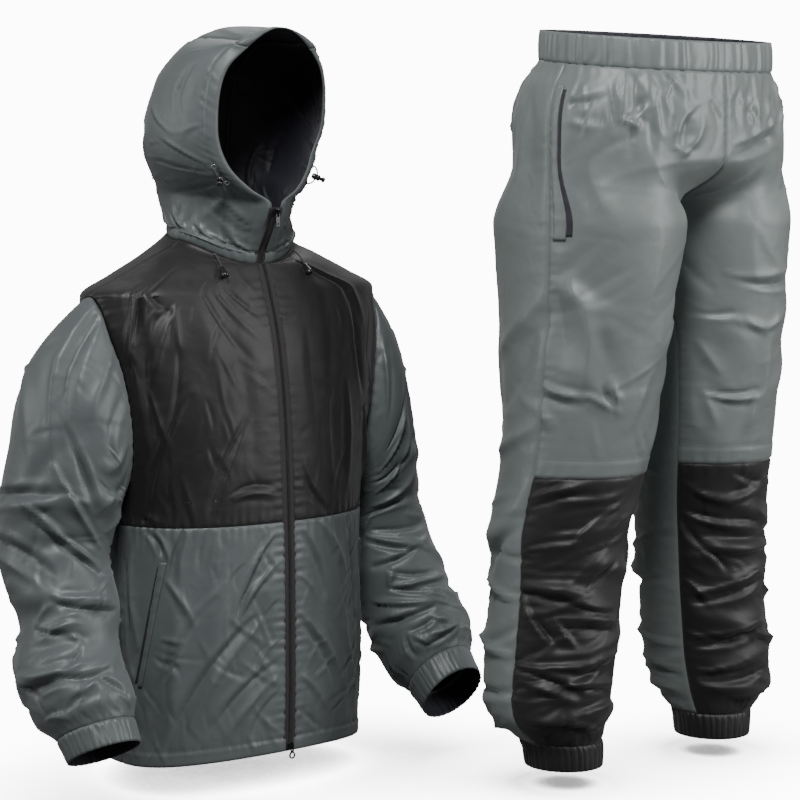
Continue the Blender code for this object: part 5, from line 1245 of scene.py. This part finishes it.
ANKLE_PLEATS, WAIST_PLEATS = 38, 96
for side, tag in ((RIGHT, "r"), (LEFT, "l")):
    def ankle_lift(u, v, across, along, seed=side):
        share = (v - ANKLE) / (ANKLE_BAND - ANKLE)
        at = u / RING * ANKLE_PLEATS + 0.25 * wobble(u * 0.03, 75 + seed, 0.01)
        return 0.0013 * np.abs(np.sin(math.pi * at)) ** 0.7 + 0.0010 * np.sin(math.pi * share)

    alongs = np.linspace(ANKLE, ANKLE_BAND, 11)
    surface = leg_cuff(side)
    shell(f"ankle_{tag}", surface, np.arange(ANKLE_PLEATS * 9) / (ANKLE_PLEATS * 9) * RING, alongs,
          ring_inside(surface, alongs), ankle_lift, BLACK, [f"ankle_{tag}"],
          closed=True, seams={1: 13})


def waist_lift(u, v, across, along):
    share = (v - BAND_LOW) / (WAIST_TOP - BAND_LOW)
    at = u / RING * WAIST_PLEATS + 0.9 * wobble(u * 0.1, 78, 0.02) + 0.25 * wobble(u * 0.1, 79, 0.006) * share
    deep = 0.6 + 0.5 * wobble(u * 0.1, 77, 0.015)
    return 0.0017 * deep * np.sin(math.pi * at) + 0.0014 * np.sin(math.pi * share)


shell("waistband", waist_base, np.arange(WAIST_PLEATS * 5) / (WAIST_PLEATS * 5) * RING,
      np.linspace(BAND_LOW, WAIST_TOP, 13), upright_axis(*TROUSER_PLACE), waist_lift, GREY,
      ["waistband"], closed=True, seams={0: 10})

# Sewing, in small raised dashes
DASH, DASH_PITCH, DASH_HALF = 0.0025, 0.0033, 0.00032


def thread_line(points, normals):
    """Spreads dashes evenly along a line of points. Returns their corners and faces."""
    run = np.concatenate([[0], np.cumsum(np.linalg.norm(np.diff(points, axis=0), axis=1))])
    corners, faces = [], []
    for start in np.arange(0.002, run[-1] - DASH, DASH_PITCH):
        ends = [np.array([np.interp(at, run, points[:, i]) for i in range(3)]) for at in (start, start + DASH)]
        n = np.array([np.interp(start, run, normals[:, i]) for i in range(3)])
        middle = (ends[0] + ends[1]) / 2
        side = np.cross(n, ends[1] - ends[0])
        side = side / max(np.linalg.norm(side), 1e-9) * DASH_HALF
        first = len(corners)
        lift = n * DASH_HALF
        corners += [ends[0], ends[1], middle + side, middle + lift * 1.6, middle - side, middle - lift]
        for a, b in ((2, 3), (3, 4), (4, 5), (5, 2)):
            faces += [(first, first + a, first + b), (first + 1, first + b, first + a)]
    return corners, faces


def line_at(name, edge, distance):
    """Points and normals of a made shell along one edge, this far in from it."""
    made, normal, across, along = MADE[name]
    if edge < 2:
        made, normal, depth = made.transpose(1, 0, 2), normal.transpose(1, 0, 2), along.T
    else:
        depth = across
    if edge % 2:
        depth = depth[:, -1:] - depth
        made, normal, depth = made[:, ::-1], normal[:, ::-1], depth[:, ::-1]
    points, outs = [], []
    for row in range(len(made)):
        points.append([np.interp(distance, depth[row], made[row, :, i]) for i in range(3)])
        outs.append([np.interp(distance, depth[row], normal[row, :, i]) for i in range(3)])
    return np.array(points), np.array(outs)


# Columns: shell, then pairs of an edge (0 first row, 1 last row, 2 first column, 3 last column) and a distance
SEWN = {
    "yoke_front": ((0, 0.0040), (3, 0.0045)),
    "lower_front": ((0, HEM_STITCH),),
    "hood_side": ((2, TUNNEL), (2, 0.0025), (3, 0.0040), (0, 0.0040)),
    "trouser_front": ((0, 0.0040), (0, KNEE_BAND), (3, 0.0045), (2, 0.0045)),
    "shin_front": ((3, 0.0045), (2, 0.0045)),
}
LINES = [(f"{name}_{tag}", edge, far) for name, rows in SEWN.items() for tag in "rl" for edge, far in rows]
LINES += [("lower_back", 0, HEM_STITCH), ("yoke_back", 0, 0.0040), ("hood_centre", 1, TUNNEL),
          ("hood_centre", 2, 0.0040), ("hood_centre", 3, 0.0040)]
for tag, zip_edge in (("r", 2), ("l", 2)):
    LINES += [(f"yoke_front_{tag}", zip_edge, 0.0050), (f"lower_front_{tag}", zip_edge, 0.0050)]
for thread, dark in (("thread_grey", False), ("thread_black", True)):
    corners, faces = [], []
    for name, edge, far in LINES:
        if name.startswith(("yoke", "shin")) != dark:
            continue
        more, more_faces = thread_line(*line_at(name, edge, far))
        faces += [tuple(len(corners) + i for i in face) for face in more_faces]
        corners += more
    sewing = mesh_object(f"sewing_{thread}", corners, faces, thread)
    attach(sewing, "suit")


# Zip teeth, one side's set between the other's
def zip_line(s):
    """y and z of the zip at s: the height up to the neck band's top, then that height plus the share up the face edge."""
    low = torso_base(0.0, np.minimum(s, BAND_TOP))
    share = np.clip(s - BAND_TOP, 0, 1)
    on_hood = s > BAND_TOP
    y = np.where(on_hood, column(FACE, 3, share), low[..., 1])
    z = np.where(on_hood, column(FACE, 4, share), low[..., 2])
    return y, z


TAPE_REACH, TAPE_BACK, TAPE_WALL = 0.0112, 0.0006, 0.0005
tape_stops = np.concatenate([np.linspace(HEM, BAND_TOP, 160), BAND_TOP + np.linspace(0, 0.205, 50)[1:]])
for side, tag in ((RIGHT, "r"), (LEFT, "l")):
    ys, zs = zip_line(tape_stops)
    lean = np.stack([-np.gradient(zs), np.gradient(ys)], axis=-1)
    lean = lean / np.linalg.norm(lean, axis=-1, keepdims=True)
    back = np.where(np.abs(lean[:, :1]) > 0, np.sign(lean[:, :1]), 1) * lean
    across = np.linspace(0.00005, TAPE_REACH, 6)
    grid = np.stack([np.repeat(side * across[None], len(ys), 0),
                     (ys + back[:, 0] * TAPE_BACK)[:, None] + 0 * across,
                     (zs + back[:, 1] * TAPE_BACK)[:, None] + 0 * across], axis=-1)
    order = 1 if side == LEFT else -1
    faces = [(r * 6 + c, r * 6 + c + 1, (r + 1) * 6 + c + 1, (r + 1) * 6 + c)[::order] for r in range(len(ys) - 1)
             for c in range(5)]
    tape = mesh_object(f"tape_{tag}", grid.reshape(-1, 3), faces, "tape")
    wall = tape.modifiers.new("wall", "SOLIDIFY")
    wall.thickness = TAPE_WALL
    wall.offset = -1
    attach(tape, "suit")
    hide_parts(f"zip_tape_{tag}")

ZIP_TOP_SHARE, TOOTH_PITCH = 0.19, 0.0026
TOOTH_LONG, TOOTH_TALL, TOOTH_OUT = 0.0030, 0.0011, 0.0013  # across the zip, along it, and towards the front
stops = np.concatenate([np.linspace(HEM + 0.002, BAND_TOP, 400), BAND_TOP + np.linspace(0, ZIP_TOP_SHARE, 80)[1:]])
ys, zs = zip_line(stops)
run = np.concatenate([[0], np.cumsum(np.hypot(np.diff(ys), np.diff(zs)))])
corners, faces = [], []
for count, at in enumerate(np.arange(0.002, run[-1] - 0.001, TOOTH_PITCH / 2)):
    y, z = np.interp(at, run, ys), np.interp(at, run, zs)
    y1, z1 = np.interp(at + 0.001, run, ys), np.interp(at + 0.001, run, zs)
    up = Vector((0, y1 - y, z1 - z)).normalized()
    out = Vector((0, -up.z, up.y))
    shift = (1 if count % 2 else -1) * 0.0009
    first = len(corners)
    for dz, slim in ((-1, 0.6), (-0.5, 1.0), (0.5, 1.0), (1, 0.6)):
        for dx, dy in ((-1, 0), (-1, 1), (1, 1), (1, 0)):
            spot = Vector((shift + dx * TOOTH_LONG / 2 * slim, y, z)) + up * dz * TOOTH_TALL / 2
            corners.append(spot + out * (dy * TOOTH_OUT * slim - 0.0003))
    for ring in range(3):
        for k in range(4):
            a, b = first + ring * 4 + k, first + ring * 4 + (k + 1) % 4
            faces.append((a, b, b + 4, a + 4))
    faces += [(first + 3, first + 2, first + 1, first), (first + 12, first + 13, first + 14, first + 15)]
teeth = mesh_object("zip_teeth", corners, faces, "teeth")
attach(teeth, "suit")
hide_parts("zip_chain")


# Turned hard pieces and cords
def turned(name, profile, where, material, nodes, body="suit", sides=32):
    """A closed body turned round its own Z from rows of (radius, height); a row of radius nought is a point."""
    corners, faces = [], []
    for radius, height in profile:
        for k in range(sides):
            turn = 2 * math.pi * k / sides
            corners.append(where @ Vector((radius * math.cos(turn), radius * math.sin(turn), height)))
    for row in range(len(profile) - 1):
        for k in range(sides):
            a, b = row * sides + k, row * sides + (k + 1) % sides
            faces.append((a, b, b + sides, a + sides))
    made = mesh_object(name, corners, faces, material)
    shaped = bmesh.new()
    shaped.from_mesh(made.data)
    bmesh.ops.remove_doubles(shaped, verts=shaped.verts, dist=1e-6)
    bmesh.ops.recalc_face_normals(shaped, faces=shaped.faces)
    shaped.to_mesh(made.data)
    shaped.free()
    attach(made, body)
    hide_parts(*nodes)
    return made


def through(points, count):
    """Evenly spread points on a smooth curve through these points."""
    knots = np.array(points, float)
    at = np.concatenate([[0], np.cumsum(np.linalg.norm(np.diff(knots, axis=0), axis=1))])
    even = np.linspace(0, at[-1], count)
    return np.stack([column(np.column_stack([at, knots]), i, even) for i in (1, 2, 3)], axis=-1)


def cord(name, path, node):
    """A free cord along a path, as a curve of one open spline."""
    curve = bpy.data.curves.new(name, "CURVE")
    curve.dimensions = "3D"
    curve.bevel_depth = CORD / 2
    curve.bevel_resolution = 4
    curve.use_fill_caps = True
    spline = curve.splines.new("POLY")
    spline.points.add(len(path) - 1)
    for knot, point in zip(spline.points, path):
        knot.co = (*point, 1)
    curve.materials.append(MATERIALS["cord_braid"])
    obj = bpy.data.objects.new(name, curve)
    bpy.context.scene.collection.objects.link(obj)
    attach(obj, "suit")
    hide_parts(node)


def faceted(surface, us, vs):
    """The surface as its solid has it, flat between that solid's own points."""
    u, v = np.meshgrid(us, vs)
    grid = surface(u, v)

    def flat(u, v):
        c, r = np.interp(u, us, np.arange(len(us))), np.interp(v, vs, np.arange(len(vs)))
        i = np.minimum(r.astype(int), len(vs) - 2)
        j = np.minimum(c.astype(int), len(us) - 2)
        a, b = (r - i)[..., None], (c - j)[..., None]
        low = grid[i, j] * (1 - b) + grid[i, j + 1] * b
        high = grid[i + 1, j] * (1 - b) + grid[i + 1, j + 1] * b
        return low * (1 - a) + high * a

    return flat


def surface_frame(surface, u, v, middle):
    """A point of a surface with its outward normal."""
    step = 1e-3
    at = surface(np.array(u), np.array(v))
    across = surface(np.array(u + step), np.array(v)) - surface(np.array(u - step), np.array(v))
    along = surface(np.array(u), np.array(v + step)) - surface(np.array(u), np.array(v - step))
    normal = np.cross(across, along)
    normal /= np.linalg.norm(normal)
    if np.dot(normal, at - middle) < 0:
        normal = -normal
    return Vector(at), Vector(normal)


def facing(direction, at):
    where = direction.to_track_quat("Z", "Y").to_matrix().to_4x4()
    where.translation = at
    return where


CORD = 0.0023
LOCK_BARREL, LOCK_LENGTH, LOCK_GAP, PLUNGER_STEM, PLUNGER_KNOB, KNOB_LENGTH = (
    0.0044, 0.0115, 0.0036, 0.0026, 0.0041, 0.0055)
LOOP_TOP, LOOP_LOW, LOOP_OUT, LOOP_IN = 0.421, 0.336, 0.0125, 0.075
EYELET_OUT, EYELET_HOLE = 0.0042, 0.0019
LOCK_FLOOR, STEM_IN = 0.0011, 0.0012  # the closed end of a barrel, and how far its plunger reaches in
half = LOCK_LENGTH / 2
# Profiles as rows of (radius, height)
BARREL = ((0, -half), (LOCK_BARREL * 0.80, -half), (LOCK_BARREL * 0.97, -half + 0.0008), (LOCK_BARREL, -half + 0.002),
          (LOCK_BARREL, half - 0.0032), (LOCK_BARREL * 0.86, half - 0.0029), (LOCK_BARREL * 0.86, half - 0.0024),
          (LOCK_BARREL * 1.08, half - 0.0020), (LOCK_BARREL * 1.08, half - 0.0005), (LOCK_BARREL * 0.95, half),
          (PLUNGER_STEM + 0.0004, half), (PLUNGER_STEM + 0.0004, LOCK_FLOOR - half), (0, LOCK_FLOOR - half))
knob = half + LOCK_GAP - 0.0003
BALL = [(PLUNGER_STEM, half - STEM_IN), (PLUNGER_STEM, knob)]
BALL += [(PLUNGER_KNOB * math.sin(math.radians(a)), knob + KNOB_LENGTH / 2 * (1 - math.cos(math.radians(a))))
         for a in range(40, 181, 14)]
BALL = [(0, half - STEM_IN)] + BALL + [(0, knob + KNOB_LENGTH)]
ROLLED = [(EYELET_OUT - 0.0011 + 0.0011 * math.cos(math.radians(a)), 0.0008 + 0.0008 * math.sin(math.radians(a)))
          for a in range(0, 181, 30)]
ROLLED = [(EYELET_OUT, -0.0006)] + ROLLED + [(EYELET_HOLE, -0.0006), (EYELET_OUT, -0.0006)]
for side, tag, hand in ((RIGHT, "r", "right"), (LEFT, "l", "left")):
    shares = np.linspace(0, 1, 12)
    hood_side = faceted(hood_side_surface(side), shares, shares)
    high, high_out = surface_frame(hood_side, LOOP_IN, LOOP_TOP, HOOD_MIDDLE)
    low, low_out = surface_frame(hood_side, LOOP_IN, LOOP_LOW, HOOD_MIDDLE)
    outward = (high_out + low_out).normalized()
    down = (low - high).normalized()
    start, end = high + high_out * 0.0003, low + low_out * 0.0003
    middle = (high + low) / 2 + outward * LOOP_OUT
    half_bore = down * (LOCK_BARREL + 0.002)
    path = [start, start + high_out * 0.006, middle - half_bore, middle, middle + half_bore,
            end + low_out * 0.006, end]
    turned(f"eyelet_{tag}_top", ROLLED, facing(high_out, high + high_out * 0.0009), "ring_metal",
           [f"hood_eyelet_{tag}_top"])
    turned(f"eyelet_{tag}_low", ROLLED, facing(low_out, low + low_out * 0.0009), "ring_metal",
           [f"hood_eyelet_{tag}_low"])
    barrel = turned(f"barrel_{tag}", BARREL, facing(outward, middle), "gloss_plastic",
                    [f"lock_barrel_{tag}"])
    plunger = turned(f"plunger_{tag}", BALL, facing(outward, middle), "gloss_plastic",
                     [f"lock_plunger_{tag}"], body=f"{hand}_lock_plunger")
    cord(f"hood_loop_{tag}", through(path, 16), f"hood_cord_{tag}")

TOGGLE_LENGTH, TOGGLE_HALF, NECK_TURN = 0.0175, 0.0056, 44.0
TOGGLE_END = (0.075, -0.0865, -0.041)  # where the cord ends, on the wearer's left
long = TOGGLE_LENGTH / 2
PEAR = ((CORD / 2, long), (TOGGLE_HALF * 0.50, long), (TOGGLE_HALF * 0.60, long - 0.0008),
        (TOGGLE_HALF * 0.64, long * 0.5), (TOGGLE_HALF * 0.80, long * 0.05), (TOGGLE_HALF * 0.98, -long * 0.45),
        (TOGGLE_HALF, -long * 0.70), (TOGGLE_HALF * 0.93, -long * 0.90), (TOGGLE_HALF * 0.72, -long),
        (CORD / 2 + 0.0002, -long), (CORD / 2 + 0.0002, long - 0.0002), (CORD / 2, long))
for side, tag in ((RIGHT, "r"), (LEFT, "l")):
    at, out = surface_frame(torso, side * NECK_TURN / 100, NECK - 0.003, np.array([0, 0.02, -0.02]))
    start = at + out * (WALL + 0.0012)
    end = Vector((side * TOGGLE_END[0], TOGGLE_END[1], TOGGLE_END[2]))
    hang = start * 0.72 + end * 0.28 + out * 0.0052
    path = through([start, start + out * 0.0024, hang, (hang + end) / 2, end], 16)
    line = (end - hang).normalized()
    pear = turned(f"toggle_{tag}", PEAR, facing(-line, end - line * (TOGGLE_LENGTH / 2 + 0.0006)), "gloss_plastic",
                  [f"neck_toggle_{tag}"])
    cord(f"neck_string_{tag}", path, f"neck_cord_{tag}")


# Pocket welts: raised strips, with a dark strip beside each as painted shade for the pocket's opening
def strip(name, surface, first, last, half, axis, lift, crown, material, nodes, rows=60, flare=0.0):
    """A narrow strip on the cloth from first to last, lifted clear of it and crowned across."""
    t, c = np.meshgrid(np.linspace(0, 1, rows), np.linspace(-1, 1, 9), indexing="ij")
    width = half * (1 - flare * t)
    u = first[0] + (last[0] - first[0]) * t + c * width
    v = first[1] + (last[1] - first[1]) * t
    grid = surface(u, v)
    normal = normals_of(grid, False)
    away = grid - axis(grid.reshape(-1, 3)).reshape(grid.shape)
    if (normal * away).sum() < 0:
        normal = -normal
    ends = np.minimum(ease(t / 0.03), ease((1 - t) / 0.03))
    height = lift + crown * (1 - c**4) * (0.4 + 0.6 * ends) + 0.0003 * wobble(v + 0 * c, 151, 0.02)
    points = (grid + normal * height[..., None]).reshape(-1, 3)
    faces = [(r * 9 + k, r * 9 + k + 1, (r + 1) * 9 + k + 1, (r + 1) * 9 + k) for r in range(rows - 1)
             for k in range(8)]
    corner = points[list(faces[0])]
    if np.dot(np.cross(corner[2] - corner[0], corner[3] - corner[1]), normal.reshape(-1, 3)[0]) < 0:
        faces = [face[::-1] for face in faces]
    made = mesh_object(name, points, faces, material)
    layer = made.data.uv_layers.new(name="cloth")
    across, along = lengths_along(grid, 1).ravel(), lengths_along(grid, 0).ravel()
    for corner in made.data.loops:
        layer.data[corner.index].uv = (across[corner.vertex_index], along[corner.vertex_index])
    thick = made.modifiers.new("wall", "SOLIDIFY")
    thick.thickness = lift + crown * 0.5
    thick.offset = -1
    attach(made, "suit")
    if nodes:
        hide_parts(*nodes)
    return made


for side, tag in ((RIGHT, "r"), (LEFT, "l")):
    first, last = (side * 0.60, -0.438), (side * 0.75, -0.619)
    strip(f"welt_{tag}", torso, first, last, 0.021, BODY_AXIS, 0.0014, 0.0012, "slate_jacket",
          [f"pocket_welt_{tag}"], flare=0.35)
    behind = side * 0.026
    # painted shade: a dark strip in the inner coating's colour, laid on the cloth where the pocket's slit is shadowed
    strip(f"pocket_{tag}", torso, (first[0] + behind, first[1] - 0.006), (last[0] + behind, last[1] + 0.006), 0.008,
          BODY_AXIS, 0.0008, 0.0002, "inner_coating", [])
    axis = upright_axis(TROUSER_PLACE[0] + side * 0.13, TROUSER_PLACE[1] + 0.035)
    half_trousers = leg_surface(side)
    first, last = (0.945, 0.226), (0.955, 0.012)
    strip(f"trouser_strip_{tag}", half_trousers, first, last, 0.024, axis, 0.0014, 0.0010, "slate_trousers",
          [f"trouser_welt_{tag}"])
    # painted shade: the same dark strip, beside the trousers' welt, where that pocket's slit is shadowed
    strip(f"trouser_pocket_shade_{tag}", half_trousers, (first[0] - 0.036, first[1] - 0.004),
          (last[0] - 0.036, last[1] + 0.006), 0.011, axis, 0.0008, 0.0002, "inner_coating", [])

# Carried-over nodes
FINISHES = {"zip_slider": "enamel", "pull": "enamel"}
for name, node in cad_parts.items():
    for start, finish in FINISHES.items():
        if name.startswith(start):
            node.data.materials.clear()
            node.data.materials.append(MATERIALS[finish])

low, high = (list(map(float, corner)) for corner in CAD_BOX)
